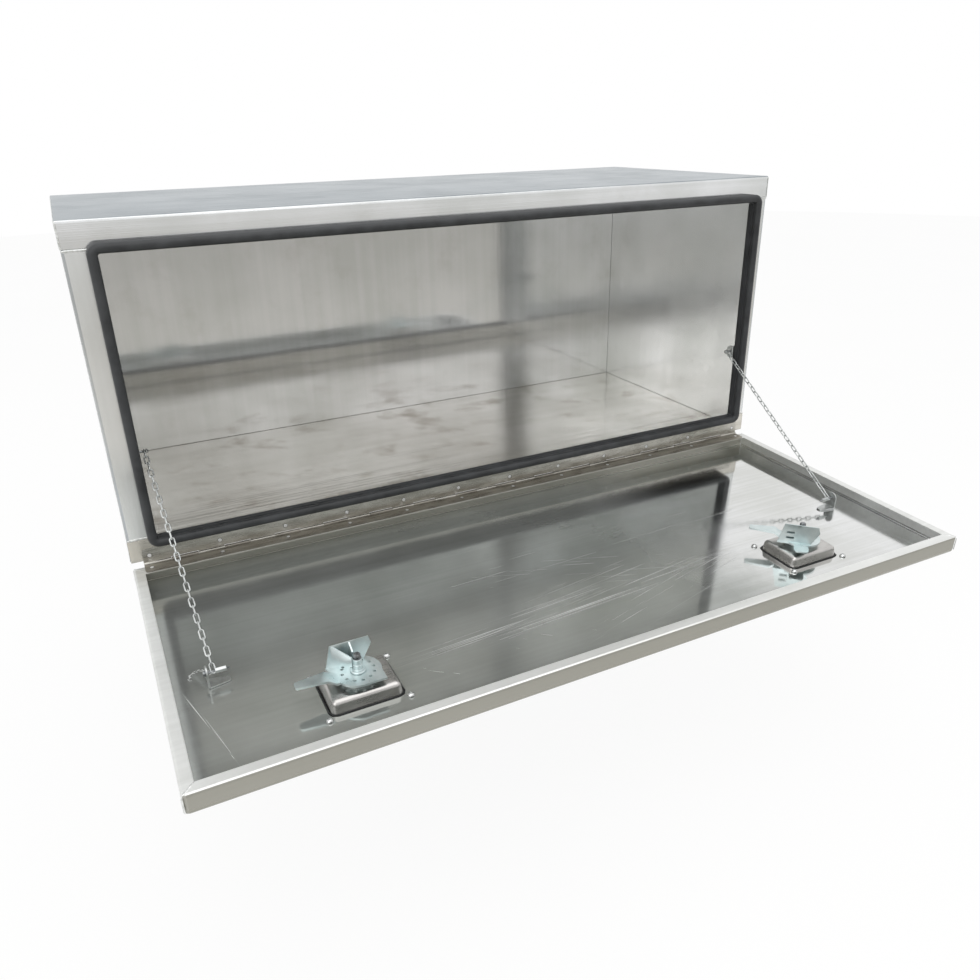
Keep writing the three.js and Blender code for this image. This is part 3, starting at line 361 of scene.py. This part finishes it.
# a profile of (radius, height) turned round z
def addTurned(shape, profile, around, place=Matrix()):
    angles = [math.tau * k / around for k in range(around)]
    rings = [[(radius * math.cos(a), radius * math.sin(a), height) for a in angles] for radius, height in profile]
    addRings(shape, rings, place=place)


# stands are the CAD pieces that this one is shown for, smooth the angle in degrees under which edges are rounded
def finishPiece(name, mesh, look, body, stands, smooth, bevel):
    mesh.materials.append(finishes[look])
    mesh.shade_smooth()
    mesh.set_sharp_from_angle(angle=math.radians(smooth))
    piece = bpy.data.objects.new(name, mesh)
    bpy.context.collection.objects.link(piece)
    if bevel:
        edge = piece.modifiers.new("easedEdges", "BEVEL")
        edge.width, edge.segments, edge.limit_method = bevel * mm, 2, "ANGLE"
        edge.angle_limit = math.radians(40)
        edge.harden_normals = True
    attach(piece, body)
    if stands:
        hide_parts(*stands)


def makePiece(name, shape, look, body, stands=(), smooth=40, bevel=0):
    mesh = bpy.data.meshes.new(name)
    mesh.from_pydata([tuple(point * mm) for point in shape["points"]], [], shape["faces"])
    work = bmesh.new()
    work.from_mesh(mesh)
    bmesh.ops.recalc_face_normals(work, faces=work.faces)
    work.to_mesh(mesh)
    work.free()
    finishPiece(name, mesh, look, body, stands, smooth, bevel)


# a copy of the CAD piece with its flat facets joined and its edges eased
def easeNode(name, node, look, body, bevel, smooth=40):
    work = bmesh.new()
    work.from_mesh(nodes[node].data)
    bmesh.ops.remove_doubles(work, verts=work.verts, dist=0.00001)
    bmesh.ops.dissolve_limit(work, angle_limit=math.radians(1), verts=work.verts, edges=work.edges)
    mesh = bpy.data.meshes.new(name)
    work.to_mesh(mesh)
    work.free()
    finishPiece(name, mesh, look, body, (node,), smooth, bevel)


# CAD pieces that are shown as they are, in a better material
for node, look in (("top_panel", "top"), ("floor_panel", "floor"), ("left_end_panel", "end"),
                   ("right_end_panel", "end"), ("back_panel", "back"), ("door_panel", "door"),
                   ("hinge_pin", "hinge"), ("left_latch_gasket", "gasket"), ("right_latch_gasket", "gasket")):
    for holder in nodes[node].material_slots:
        holder.material = finishes[look]


def roundLoop(width, height, radius, steps):
    stations = []
    for corner, (sx, sy) in enumerate(((1, 1), (-1, 1), (-1, -1), (1, -1))):
        for i in range(steps + 1):
            angle = (corner + i / steps) * math.pi / 2
            normal = Vector((math.cos(angle), math.sin(angle), 0))
            stations.append((Vector((sx * (width / 2 - radius), sy * (height / 2 - radius), 0)) + normal * radius,
                             normal))
    return stations


# Door seal: a U grip over the lip, a narrow waist and a hollow-looking round nose.
sealShape = {"width": 13.5, "depth": 25, "corner": 9.5, "waist": 11, "waistAt": 14.8, "noseAt": 18.6, "noseFrom": -20,
             "grip": 0.3, "slot": 1.3, "slotDeep": 14.3, "noseSteps": 10, "cornerSteps": 10}


def makeSeal():
    s, w = sealShape, sealShape["width"] / 2
    # half the section, as (distance from the lip's middle, depth towards the door)
    outside = [(w - 0.8, s["grip"]), (w, s["grip"] + 0.8), (w, 5), (w - 0.35, 6), (w - 0.35, 7), (w, 8), (w, 11.6),
               (w - 0.6, 13.2), (s["waist"] / 2, s["waistAt"]), (s["waist"] / 2 + 0.35, s["waistAt"] + 0.8)]
    steps = s["noseSteps"]
    turns = [math.radians(s["noseFrom"] + (90 - s["noseFrom"]) * i / steps) for i in range(steps + 1)]
    half = outside + [(w * math.cos(a), s["noseAt"] + (s["depth"] - s["noseAt"]) * math.sin(a)) for a in turns]
    section = half + [(-x, y) for x, y in reversed(half[:-1])]
    section += [(-s["slot"], s["grip"]), (-s["slot"], s["slotDeep"]), (s["slot"], s["slotDeep"]),
                (s["slot"], s["grip"])]
    middle = case["width"] - case["flange"] * 2, case["height"] - case["flange"] * 2
    rings = []
    for point, normal in roundLoop(*middle, s["corner"], s["cornerSteps"]):
        rings.append([(point.x + normal.x * out, -case["depth"] / 2 - deep,
                       -case["height"] / 2 + point.y + normal.y * out) for out, deep in section])
    shape = newShape()
    addRings(shape, rings, loop=True)
    makePiece("doorSealRubber", shape, "seal", "case", ("door_seal",), smooth=50)


makeSeal()
print("seal made")

# Piano hinge: leaves and knuckles with round shading, and one small dome per rivet on each leaf.
hingeShape = {"rivets": (27, 132, 236, 340, 442, 546, 649, 752, 855, 955, 1058, 1173), "fromPin": 13,
              "dome": 3.2, "proud": 0.28, "seat": 3.7, "caseFace": -251.1, "doorFace": -0.3, "tail": 2.4,
              "tailProud": 1.4}


def makeHinge():
    h = hingeShape
    easeNode("caseHingeLeaf", "hinge_case_leaf", "hinge", "case", 0, smooth=50)
    easeNode("doorHingeLeaf", "hinge_door_leaf", "paintedReflectionHinge", "door", 0, smooth=50)
    dome = [(h["dome"], -0.1), (h["dome"] * 0.97, 0.08), (h["dome"] * 0.8, h["proud"] * 0.6),
            (h["dome"] * 0.45, h["proud"] * 0.92), (0.4, h["proud"])]
    seat = [(h["dome"] * 0.9, -0.1), (h["seat"], -0.1), (h["seat"], 0.03), (h["dome"] * 0.9, 0.05)]
    tail = [(h["tail"], 0), (h["tail"], 0.6), (h["tail"] * 0.7, h["tailProud"]), (0.4, h["tailProud"])]
    onCase, onDoor, caseSeats, doorSeats = newShape(), newShape(), newShape(), newShape()
    level = hingeLine["z"] + h["fromPin"]
    forwards, backwards = (Matrix.Rotation(math.radians(angle), 4, "X") for angle in (90, -90))
    for along in h["rivets"]:
        x = along - case["width"] / 2
        caseFace = Matrix.Translation((x, h["caseFace"], level)) @ forwards
        doorFace = doorPlace @ Matrix.Translation((x, -h["fromPin"], h["doorFace"]))
        for rivets, seats, face in ((onCase, caseSeats, caseFace), (onDoor, doorSeats, doorFace)):
            addTurned(rivets, dome, 16, face)
            addTurned(seats, seat, 16, face)
        addTurned(onCase, tail, 12, Matrix.Translation((x, case["sheet"] - case["depth"] / 2, level)) @ backwards)
        addTurned(onDoor, tail, 12, doorPlace @ Matrix.Translation((x, -h["fromPin"], door["lip"] - door["sheet"])) @
                  Matrix.Rotation(math.pi, 4, "X"))
    makePiece("caseHingeRivets", onCase, "flatRivet", "case")
    makePiece("doorHingeRivets", onDoor, "flatRivet", "door")
    # the dark rings round the hinge rivets are painted shade for their grooves, with grime
    makePiece("caseHingeRivetSeats", caseSeats, "paintedRivetShadeAndGrime", "case")
    makePiece("doorHingeRivetSeats", doorSeats, "paintedRivetShadeAndGrime", "door")


makeHinge()
print("hinge made")

# Chain stays. Each bolt has its y and z in its body, then inwards from the box's end where its head is, and where
# its nut is, with the nut's height and the tail beyond it.
stayBolts = {"case": {"at": (-240, -328), "head": 40.7, "nut": (52, 2.6, 1.5)},
             "door": {"at": (-300, -8.4), "head": 57.2, "nut": (69, 14, 4)}}

# Chains: short-link welded chain of 2 mm wire, every link square to the next, pulled straight.
chainShape = {"wire": 2, "width": 8, "upper": 10, "lower": 20, "caseEnd": (550, *stayBolts["case"]["at"]),
              "doorEnd": (533, -550.87, -523.15), "play": 3.2, "bendSteps": 8, "wireSides": 10,
              "swell": ((0.5, -1.5), (1.16, -0.8), (1.2, 0.1), (1.12, 0.9), (0.5, 1.5))}


def makeChain(side, sign):
    c = chainShape
    top, low = Vector(c["caseEnd"]), Vector(c["doorEnd"])
    top.x, low.x = top.x * sign, low.x * sign
    span, count = (low - top).length, c["upper"] + c["lower"]
    inner = (span + c["play"]) / count
    down = (low - top).normalized()
    across = (Vector((1, 0, 0)) - down * down.x).normalized()
    third = down.cross(across)
    radius, bend = c["wire"] / 2, (c["width"] - c["wire"]) / 2
    flat = inner / 2 + radius - bend
    stations = []
    for end in (1, -1):
        for i in range(c["bendSteps"] + 1):
            angle = math.pi * i / c["bendSteps"]
            out = Vector((math.cos(angle), math.sin(angle), 0)) * end
            stations.append((Vector((0, flat * end, 0)) + out * bend, out))
    shapes = {"upper": newShape(), "lower": newShape()}
    for i in range(count):
        centre = top + down * (inner / 2 - c["play"] / 2 + i * inner)
        level = third if i % 2 == 0 else across
        other = across if i % 2 == 0 else third
        rings = []
        for point, out in stations:
            ring = []
            for k in range(c["wireSides"]):
                angle = math.tau * k / c["wireSides"]
                local = point + out * (radius * math.cos(angle))
                ring.append(centre + level * local.x + down * local.y + other * (radius * math.sin(angle)))
            rings.append(ring)
        shape = shapes["upper" if i < c["upper"] else "lower"]
        addRings(shape, rings, loop=True)
        # the weld is a slight swelling on one long side
        addTurned(shape, c["swell"], 8, Matrix.Translation(centre + level * bend) @
                  down.to_track_quat("Z", "Y").to_matrix().to_4x4())
    for part, shape in shapes.items():
        makePiece(side + "Chain" + part.capitalize(), shape, "chain", side + "_stay_" + part,
                  (side + "_" + part + "_chain",), smooth=60)


# Brackets: 2 mm strip folded once, with a rounded ear for the bolt. Bolts and nuts are M3 size, hexagonal.
bracketShape = {"sheet": 2, "bend": 1.6, "caseEar": 43, "caseFoot": 28, "caseWidth": 24, "caseTip": 24,
                "caseEarReach": 17.7, "doorEar": 59.5, "doorFoot": 29, "doorWidth": 20, "doorTip": 12,
                "doorEarReach": 28.2, "bevel": 0.3, "gap": 0.3, "bendSteps": 5, "roundSteps": 8, "roundShare": 0.96}
boltShape = {"shank": 1.6, "head": 3.6, "headHeight": 3, "washer": 4.2, "washerBore": 1.7, "washerHeight": 0.6,
             "nutBore": 1.9, "thread": 0.6, "threadDepth": 0.22, "plainShare": 0.45}


# foot along u from its free end, round the bend, then up the ear along v; width runs along w
def addFoldedEar(shape, corner, u, v, w, foot, ear, width, tip):
    s, half = bracketShape, bracketShape["sheet"] / 2
    radius = s["bend"] + half
    # the foot's free end has rounded corners
    stations = [(foot, half, tip * 0.3), (foot - 1, half, tip * 0.42), (foot - 3, half, tip * 0.5)]
    rows = [(corner + u * a + v * b, v, c) for a, b, c in stations]
    for i in range(s["bendSteps"] + 1):
        angle = math.pi / 2 * i / s["bendSteps"]
        centre = corner + u * (radius + half) + v * (radius + half)
        out = -(v * math.cos(angle)) - (u * math.sin(angle))
        rows.append((centre + out * radius, -out, width / 2))
    rounding = width / 2
    base = ear - rounding
    for i in range(s["roundSteps"] + 1):
        angle = math.pi / 2 * i / s["roundSteps"] * s["roundShare"]
        rows.append((corner + u * half + v * (base + rounding * math.sin(angle)), u,
                     rounding * math.cos(angle)))
    rings = []
    for point, normal, reach in rows:
        rings.append([point + normal * half + w * reach, point + normal * half - w * reach,
                      point - normal * half - w * reach, point - normal * half + w * reach])
    addRings(shape, rings)


# a bolt along x: its head outboard, a washer, the nut inboard and a threaded tail
def addBolt(boltPart, nutPart, place, sign, head, nut, nutHeight, tail):
    b = boltShape
    turn = place @ Matrix.Rotation(math.radians(-90) * sign, 4, "Y")

    def inwards(reach):
        return turn @ Matrix.Translation((0, 0, reach))

    headProfile = [(b["shank"], 0), (b["head"] * 0.9, 0), (b["head"], -0.4), (b["head"], -b["headHeight"] + 0.6),
                   (b["head"] * 0.82, -b["headHeight"]), (0.4, -b["headHeight"])]
    addTurned(boltPart, headProfile, 6, inwards(head))
    bore, rim, high = b["washerBore"], b["washer"], b["washerHeight"]
    addTurned(boltPart, [(bore, high), (rim, high), (rim, 0), (bore, 0)], 18, inwards(head - high / 2))
    length = nut + nutHeight + tail - head
    plain = length * b["plainShare"]
    thread = [(0.3, 0), (b["shank"], 0)]
    for i in range(int((length - plain) / b["thread"])):
        ridge = plain + b["thread"] * i
        thread += [(b["shank"], ridge), (b["shank"] - b["threadDepth"], ridge + b["thread"] / 2)]
    addTurned(boltPart, thread + [(1.1, length), (0.3, length)], 12, inwards(head))
    nutProfile = [(b["nutBore"], 0), (b["head"] * 0.88, 0), (b["head"], 0.35), (b["head"], nutHeight - 0.35),
                  (b["head"] * 0.88, nutHeight), (b["nutBore"], nutHeight)]
    addTurned(nutPart, nutProfile, 6, inwards(nut))


def makeStay(side, sign):
    s = bracketShape
    edge = case["width"] / 2
    inboard = Vector((-sign, 0, 0))
    makeChain(side, sign)
    ear = newShape()
    flangeBack = case["sheet"] + s["gap"] - case["depth"] / 2
    addFoldedEar(ear, Vector((sign * (edge - s["caseEar"]), flangeBack, stayBolts["case"]["at"][1])), -inboard,
                 Vector((0, 1, 0)), Vector((0, 0, 1)), s["caseFoot"], s["caseEarReach"], s["caseWidth"],
                 s["caseTip"])
    makePiece(side + "CaseBracket", ear, "chain", "case", (side + "_case_bracket",), bevel=s["bevel"])
    ear = newShape()
    turn = doorPlace.to_3x3()
    corner = doorPlace @ Vector((sign * (edge - s["doorEar"] + s["sheet"]), stayBolts["door"]["at"][0],
                                 door["skinInner"] + s["gap"]))
    addFoldedEar(ear, corner, turn @ inboard, turn @ Vector((0, 0, 1)), turn @ Vector((0, 1, 0)), s["doorFoot"],
                 s["doorEarReach"], s["doorWidth"], s["doorTip"])
    makePiece(side + "DoorBracket", ear, "chain", "door", (side + "_door_bracket",), bevel=s["bevel"])
    for body, frameOfBody in (("case", Matrix()), ("door", doorPlace)):
        bolt, nut, fixing = newShape(), newShape(), stayBolts[body]
        addBolt(bolt, nut, frameOfBody @ Matrix.Translation((sign * edge, *fixing["at"])), sign, fixing["head"],
                *fixing["nut"])
        part = side + body.capitalize() + "Stay"
        makePiece(part + "Bolt", bolt, "bolt", body, (side + "_" + body + "_bolt",))
        makePiece(part + "Nut", nut, "chain", body, (side + "_" + body + "_nut",))


for side, sign in sides.items():
    makeStay(side, sign)
print("chain stays made")

# Latches, about the spindle: z = 0 is the door's lip plane. inset and edge say how far the spindle is from the
# box's end and from the door's front edge. The right latch stands as its lever was left, turned by rightTurn.
latchShape = {"inset": 228, "edge": 112, "rightTurn": 136}
dishShape = {"length": 95, "height": 75, "corner": 9, "sheet": 1.5, "top": -9, "flangeTop": -29.6,
             "flangeLength": 122, "flangeHeight": 106, "flangeCorner": 8, "draft": 2.6, "edge": 7.0, "fillet": 1.2,
             "flat": 12, "edgeSteps": 6, "cornerSteps": 6}
rivetShape = {"long": 104, "short": 88, "head": 4.8, "height": 4.4, "inner": -25.2, "outer": -31.4, "mandrel": 1.5,
              "shank": 2, "domeTurn": 75, "domeSteps": 6}
# what clamps the cam plate, as (radius, height) profiles with the number of their sides
camFixings = {
    "sleeve": (((3, 1.9), (9.5, 1.9), (10, 2.4), (10, 4.4), (9.5, 4.9), (6.4, 4.9), (5.9, 5.4), (5.9, 12),
                (5.4, 12.5), (5.4, 14), (5.9, 14.5), (5.9, 19.9), (5.4, 20.4), (3, 20.4)), 32),
    "washer": (((2.4, 20.7), (5.4, 20.7), (5.4, 21.5), (4.6, 21.5)), 24),
    "boltHead": (((4.3, 21.5), (4.6, 21.8), (4.6, 26.6), (4.1, 27.2), (2.6, 27.2)), 6),
    "boltShank": (((2.5, -12), (2.5, 20.8)), 14)}


def outlineAt(width, height, corner, level):
    return [Vector((p.x, p.y, level)) for p, _ in roundLoop(width, height, corner, dishShape["cornerSteps"])]


def addDish(shape, place):
    d = dishShape
    high, low, t = d["flangeTop"], d["flangeTop"] - d["sheet"], d["sheet"]

    # one side of the cup from its flat middle out to the flange, as (inset from the pocket's outline, level)
    def pocket(wall, first):
        edge = d["edge"] - wall
        top = d["top"] - wall
        flatIn = wall + d["draft"] + edge
        rows = [(flatIn + d["flat"], top), (flatIn, top)]
        for i in range(1, d["edgeSteps"] + 1):
            angle = math.pi / 2 * i / d["edgeSteps"]
            rows.append((flatIn - edge * math.sin(angle), top - edge * (1 - math.cos(angle))))
        rows.append((wall + (0.1 if wall else 0.4), first + d["fillet"] * 1.5))
        rows.append((wall - (0 if wall else d["fillet"]), first))
        return [outlineAt(d["length"] - inset * 2, d["height"] - inset * 2, max(d["corner"] - inset, 2.0), level)
                for inset, level in rows]

    # out along the hollow side, round the flange's rim and back over the domed side
    flange = [outlineAt(d["flangeLength"], d["flangeHeight"], d["flangeCorner"], level) for level in (low, high)]
    addRings(shape, pocket(t, low) + flange + pocket(0, high)[::-1], place=place)


def addRivet(shape, place):
    r = rivetShape
    head, height, m = r["head"], r["height"], r["mandrel"]
    turns = [math.radians(r["domeTurn"] * i / r["domeSteps"]) for i in range(r["domeSteps"] + 1)]
    dome = [(head * math.cos(a), height * math.sin(a)) for a in turns]
    inner = [(head, 0)] + dome + [(m + 0.3, height * 0.98), (m, height * 0.8), (0.4, height * 0.74)]
    outer = [(head, 0), (head, 0.5), (head * 0.8, 1.4), (head * 0.5, 1.9), (m, 1.95), (m * 0.9, 1.5), (0.4, 1.4)]
    addTurned(shape, inner, 20, place @ Matrix.Translation((0, 0, r["inner"])))
    addTurned(shape, outer, 20, place @ Matrix.Translation((0, 0, r["outer"])) @ Matrix.Rotation(math.pi, 4, "X"))
    addTurned(shape, [(r["shank"], r["outer"]), (r["shank"], r["inner"])], 12, place)


def makeLatch(side, sign):
    d = latchShape
    base = doorPlace @ Matrix.Translation((sign * (case["width"] / 2 - d["inset"]),
                                           door["front"] + d["edge"], door["lip"]))
    turning = base @ Matrix.Rotation(math.radians(d["rightTurn"]) if sign > 0 else 0, 4, "Z")
    cup = newShape()
    addDish(cup, base)
    makePiece(side + "LatchDish", cup, "stainless", "door", (side + "_latch_dish",), smooth=35)
    rivets = newShape()
    for a, b in ((-1, -1), (1, -1), (1, 1), (-1, 1)):
        addRivet(rivets, base @ Matrix.Translation((a * rivetShape["long"] / 2, b * rivetShape["short"] / 2, 0)))
    makePiece(side + "LatchRivets", rivets, "rivet", "door",
              tuple(side + "_latch_rivet_" + str(i) for i in (1, 2, 3, 4)))
    latch = side + "_latch"
    for part, node, look, body, slotName, bevel in (
            ("LatchHousing", "_latch_housing", "zinc", "door", "zinc_plate", 0.5),
            ("LatchCam", "_latch_cam", "zinc", latch, "zinc_plate", 0.25),
            ("LatchSpindle", "_latch_spindle", "stainless", latch, "stainless", 0.3),
            ("LatchHandle", "_latch_handle", "stainless", side + "_handle", "stainless", 0.8),
            ("HandlePin", "_handle_pin", "stainless", latch, "stainless", 0),
            ("LockCylinder", "_lock_cylinder", "brass", side + "_lock", "lock_metal", 0.25)):
        easeNode(side + part, side + node, look, body, bevel)
    sleeve, bolt = newShape(), newShape()
    addTurned(sleeve, *camFixings["sleeve"], turning)
    makePiece(side + "CamSleeve", sleeve, "zinc", latch, (side + "_cam_sleeve",))
    for part in ("washer", "boltHead", "boltShank"):
        addTurned(bolt, *camFixings[part], turning)
    makePiece(side + "CamBolt", bolt, "bolt", latch, (side + "_cam_bolt",))


for side, sign in sides.items():
    makeLatch(side, sign)
print("latches made")

# Weld beads: rippled half-rounds along the seams. Each kind of bead has its width and height; seam is how far the
# beads across the flanges lie from the top and the floor, edge how far a long bead lies from the case's edge.
beadShape = {"ripple": 1.7, "step": 0.6, "seam": 39, "edge": 2.1, "long": (3.4, 0.9), "corner": (3.6, 1.0),
             "front": (3.4, 0.8), "behind": (3.0, 0.7), "mitre": (3.0, 0.55), "doorCorner": (3.0, 0.8),
             "mitreFrom": 1.6, "mitreTo": 15.5}


def addBead(shape, start, end, out, kind):
    b = beadShape
    width, height = b[kind]
    start, end, out = Vector(start), Vector(end), Vector(out).normalized()
    length = (end - start).length
    along = (end - start).normalized()
    across = along.cross(out).normalized()
    count = max(6, int(length / b["step"]))
    rings = []
    for i in range(count + 1):
        at = i / count
        wave = abs(math.sin(math.pi * at * length / b["ripple"]))
        drift = math.sin(at * length * 0.31) * 0.25 + math.sin(at * length * 0.083 + 1) * 0.3
        taper = min(1.0, 0.35 + min(at, 1 - at) * length / 3)
        w, h = width / 2 * taper * (0.9 + 0.12 * wave), height * taper * (0.75 + 0.3 * wave)
        centre = start + along * length * at + across * drift * 0.5
        ring = [centre + across * w * math.cos(a) + out * h * math.sin(a)
                for a in [math.pi * k / 5 for k in range(6)]]
        rings.append(ring + [centre - out * 0.3 - across * w * 0.8, centre - out * 0.3 + across * w * 0.8])
    addRings(shape, rings)


def makeWelds():
    b, w, h, d = beadShape, case["width"] / 2, case["height"], case["depth"] / 2
    onCase, onDoor = newShape(), newShape()
    rims = ((-b["edge"], 1), (b["edge"] - h, -1))
    for sign in sides.values():
        x = sign * w
        addBead(onCase, (x - sign * 0.4, -d + 0.5, -2), (x - sign * 0.4, -d + 0.5, -38), (sign, -1, 0), "corner")
        for level in (-b["seam"], b["seam"] - h):
            addBead(onCase, (x - sign * 0.6, -d - 0.05, level), (x - sign * case["flange"], -d - 0.05, level),
                    (0, -1, 0), "front")
            addBead(onCase, (x - sign * 6, -d + case["sheet"], level), (x - sign * 34, -d + case["sheet"], level),
                    (0, 1, 0), "behind")
        for level, tilt in rims:
            addBead(onCase, (x, -d + 4, level), (x, d - 1, level), (sign, 0, tilt * 0.5), "long")
        inset = x - sign * b["edge"]
        addBead(onCase, (inset, d, -4), (inset, d, -h + 4), (sign * 0.5, 1, 0), "long")
    for level, tilt in rims:
        addBead(onCase, (-w + 4, d, level), (w - 4, d, level), (0, 1, tilt * 0.5), "long")
    makePiece("caseWelds", onCase, "weld", "case", smooth=60)
    turn = doorPlace.to_3x3()
    mitreLevel = door["lip"] - 0.2
    # how far in from the door's corner, along x and y alike, and at which level the beads start and end
    ends = ((b["mitreFrom"], mitreLevel), (b["mitreTo"], mitreLevel), (0.7, door["lip"] - 2.5),
            (0.7, door["skinOuter"] + 2.5))
    for sign in sides.values():
        for edge, inward in ((door["front"], 1), (door["back"], -1)):
            outer, inner, top, foot = (doorPlace @ Vector((sign * (w - reach), edge + inward * reach, level))
                                       for reach, level in ends)
            addBead(onDoor, outer, inner, turn @ Vector((0, 0, 1)), "mitre")
            addBead(onDoor, top, foot, turn @ Vector((sign, -inward, 0)), "doorCorner")
    makePiece("doorWelds", onDoor, "weld", "door", smooth=60)


makeWelds()
print("welds made")

# Stage and light. The floor is white round the box and greyer towards the camera, which the box's front mirrors.
studio = {"floorLevel": -900, "floorRadius": 9000, "floor": ("#F4F4F2", "#F9F9F8"), "mottle": 600,
          "grey": "#BBB8B1", "greyFrom": -1050, "greyTo": -1450, "floorGlow": 0.9, "bright": 1.0, "behind": 0.8,
          "brightWay": 38, "zenith": 0.9, "fill": 0.9}


def seenByMirrors(tree):
    path = addNode(tree, "LightPath", {})
    seen = addNode(tree, "Math", {0: path["Is Camera Ray"], 1: path["Is Glossy Ray"]}, operation="MAXIMUM")[0]
    return addNode(tree, "Math", {0: seen, 1: path["Is Transmission Ray"]}, operation="MAXIMUM")[0]


# painted concrete floor: pale, a little mottled, brighter where it is seen than where it lights the box
def makeFloor():
    finish, tree, shader, spot = startFinish("paintedFloor", 0.0, 0.7)
    cloud = addNode(tree, "TexNoise", {"Vector": spot, "Scale": 1000 / studio["mottle"], "Detail": 4.0})["Fac"]
    mottle = addNode(tree, "MapRange", {"Value": cloud, "From Min": 0.3, "From Max": 0.7})["Result"]
    dark, pale = (linear(colour) for colour in studio["floor"])
    paint = addNode(tree, "Mix", {0: mottle, 6: dark, 7: pale}, data_type="RGBA")[2]
    along = addNode(tree, "SeparateXYZ", {"Vector": spot})["Y"]
    beyond = addNode(tree, "MapRange", {"Value": along, "From Min": studio["greyTo"] * mm,
                                        "From Max": studio["greyFrom"] * mm},
                     interpolation_type="SMOOTHSTEP")["Result"]
    colour = addNode(tree, "Mix", {0: beyond, 6: linear(studio["grey"]), 7: paint}, data_type="RGBA")[2]
    feedShader(tree, shader, {"Base Color": colour})
    glow = addNode(tree, "Emission", {"Color": (1, 1, 1, 1), "Strength": 1.0})
    lit = addNode(tree, "Math", {0: seenByMirrors(tree), 1: beyond}, operation="MULTIPLY")[0]
    share = addNode(tree, "Math", {0: lit, 1: studio["floorGlow"]}, operation="MULTIPLY")[0]
    mixed = addNode(tree, "MixShader", {0: share, 1: shader.outputs[0], 2: glow[0]})
    tree.links.new(mixed[0], tree.nodes["Material Output"].inputs["Surface"])
    mesh = bpy.data.meshes.new("studioFloor")
    work = bmesh.new()
    bmesh.ops.create_circle(work, cap_ends=True, segments=96, radius=studio["floorRadius"] * mm)
    work.to_mesh(mesh)
    work.free()
    mesh.materials.append(finish)
    floor = bpy.data.objects.new("studioFloor", mesh)
    bpy.context.collection.objects.link(floor)
    floor.location = (0, 0, studio["floorLevel"] * mm)


# the room: white beyond the box, grey behind the camera, paler overhead
def makeRoom():
    world = bpy.data.worlds.new("studioRoom")
    bpy.context.scene.world = world
    world.use_nodes = True
    tree = world.node_tree
    tree.nodes.clear()
    way = addNode(tree, "TexCoord", {})["Generated"]
    turn = math.radians(studio["brightWay"])
    ahead = addNode(tree, "VectorMath", {0: way, 1: (math.sin(turn), math.cos(turn), 0)},
                    operation="DOT_PRODUCT")["Value"]
    front = addNode(tree, "MapRange", {"Value": ahead, "From Min": 0.25, "From Max": 0.72, "To Min": studio["behind"],
                                       "To Max": studio["bright"]})["Result"]
    height = addNode(tree, "SeparateXYZ", {"Vector": way})["Z"]
    lift = addNode(tree, "MapRange", {"Value": height, "From Min": 0.12, "From Max": 0.7})["Result"]
    tone = addNode(tree, "Mix", {0: lift, 2: front, 3: studio["zenith"]})[0]
    seen = addNode(tree, "Background", {"Color": (1, 1, 1, 1), "Strength": tone})
    dimmed = addNode(tree, "Math", {0: tone, 1: studio["fill"]}, operation="MULTIPLY")[0]
    light = addNode(tree, "Background", {"Color": (1, 1, 1, 1), "Strength": dimmed})
    both = addNode(tree, "MixShader", {0: seenByMirrors(tree), 1: light[0], 2: seen[0]})
    end = tree.nodes.new("ShaderNodeOutputWorld")
    tree.links.new(both[0], end.inputs["Surface"])


# round soft boxes, power in watts
lamps = {
    "overheadSoftbox": {"place": (200, -900, 2600), "aim": (0, -200, -300), "size": 3800, "power": 34},
    "leftSoftbox": {"place": (-2400, -2200, 1600), "aim": (0, -200, -300), "size": 3200, "power": 28},
}


def hangLamps():
    for name, lamp in lamps.items():
        data = bpy.data.lights.new(name, "AREA")
        data.shape, data.size, data.energy = "DISK", lamp["size"] * mm, lamp["power"]
        holder = bpy.data.objects.new(name, data)
        bpy.context.collection.objects.link(holder)
        place, aim = Vector(lamp["place"]) * mm, Vector(lamp["aim"]) * mm
        holder.location = place
        holder.rotation_euler = (aim - place).to_track_quat("-Z", "Y").to_euler()


makeFloor()
makeRoom()
hangLamps()
bpy.context.scene.view_settings.view_transform = "Standard"
print("stage lit")
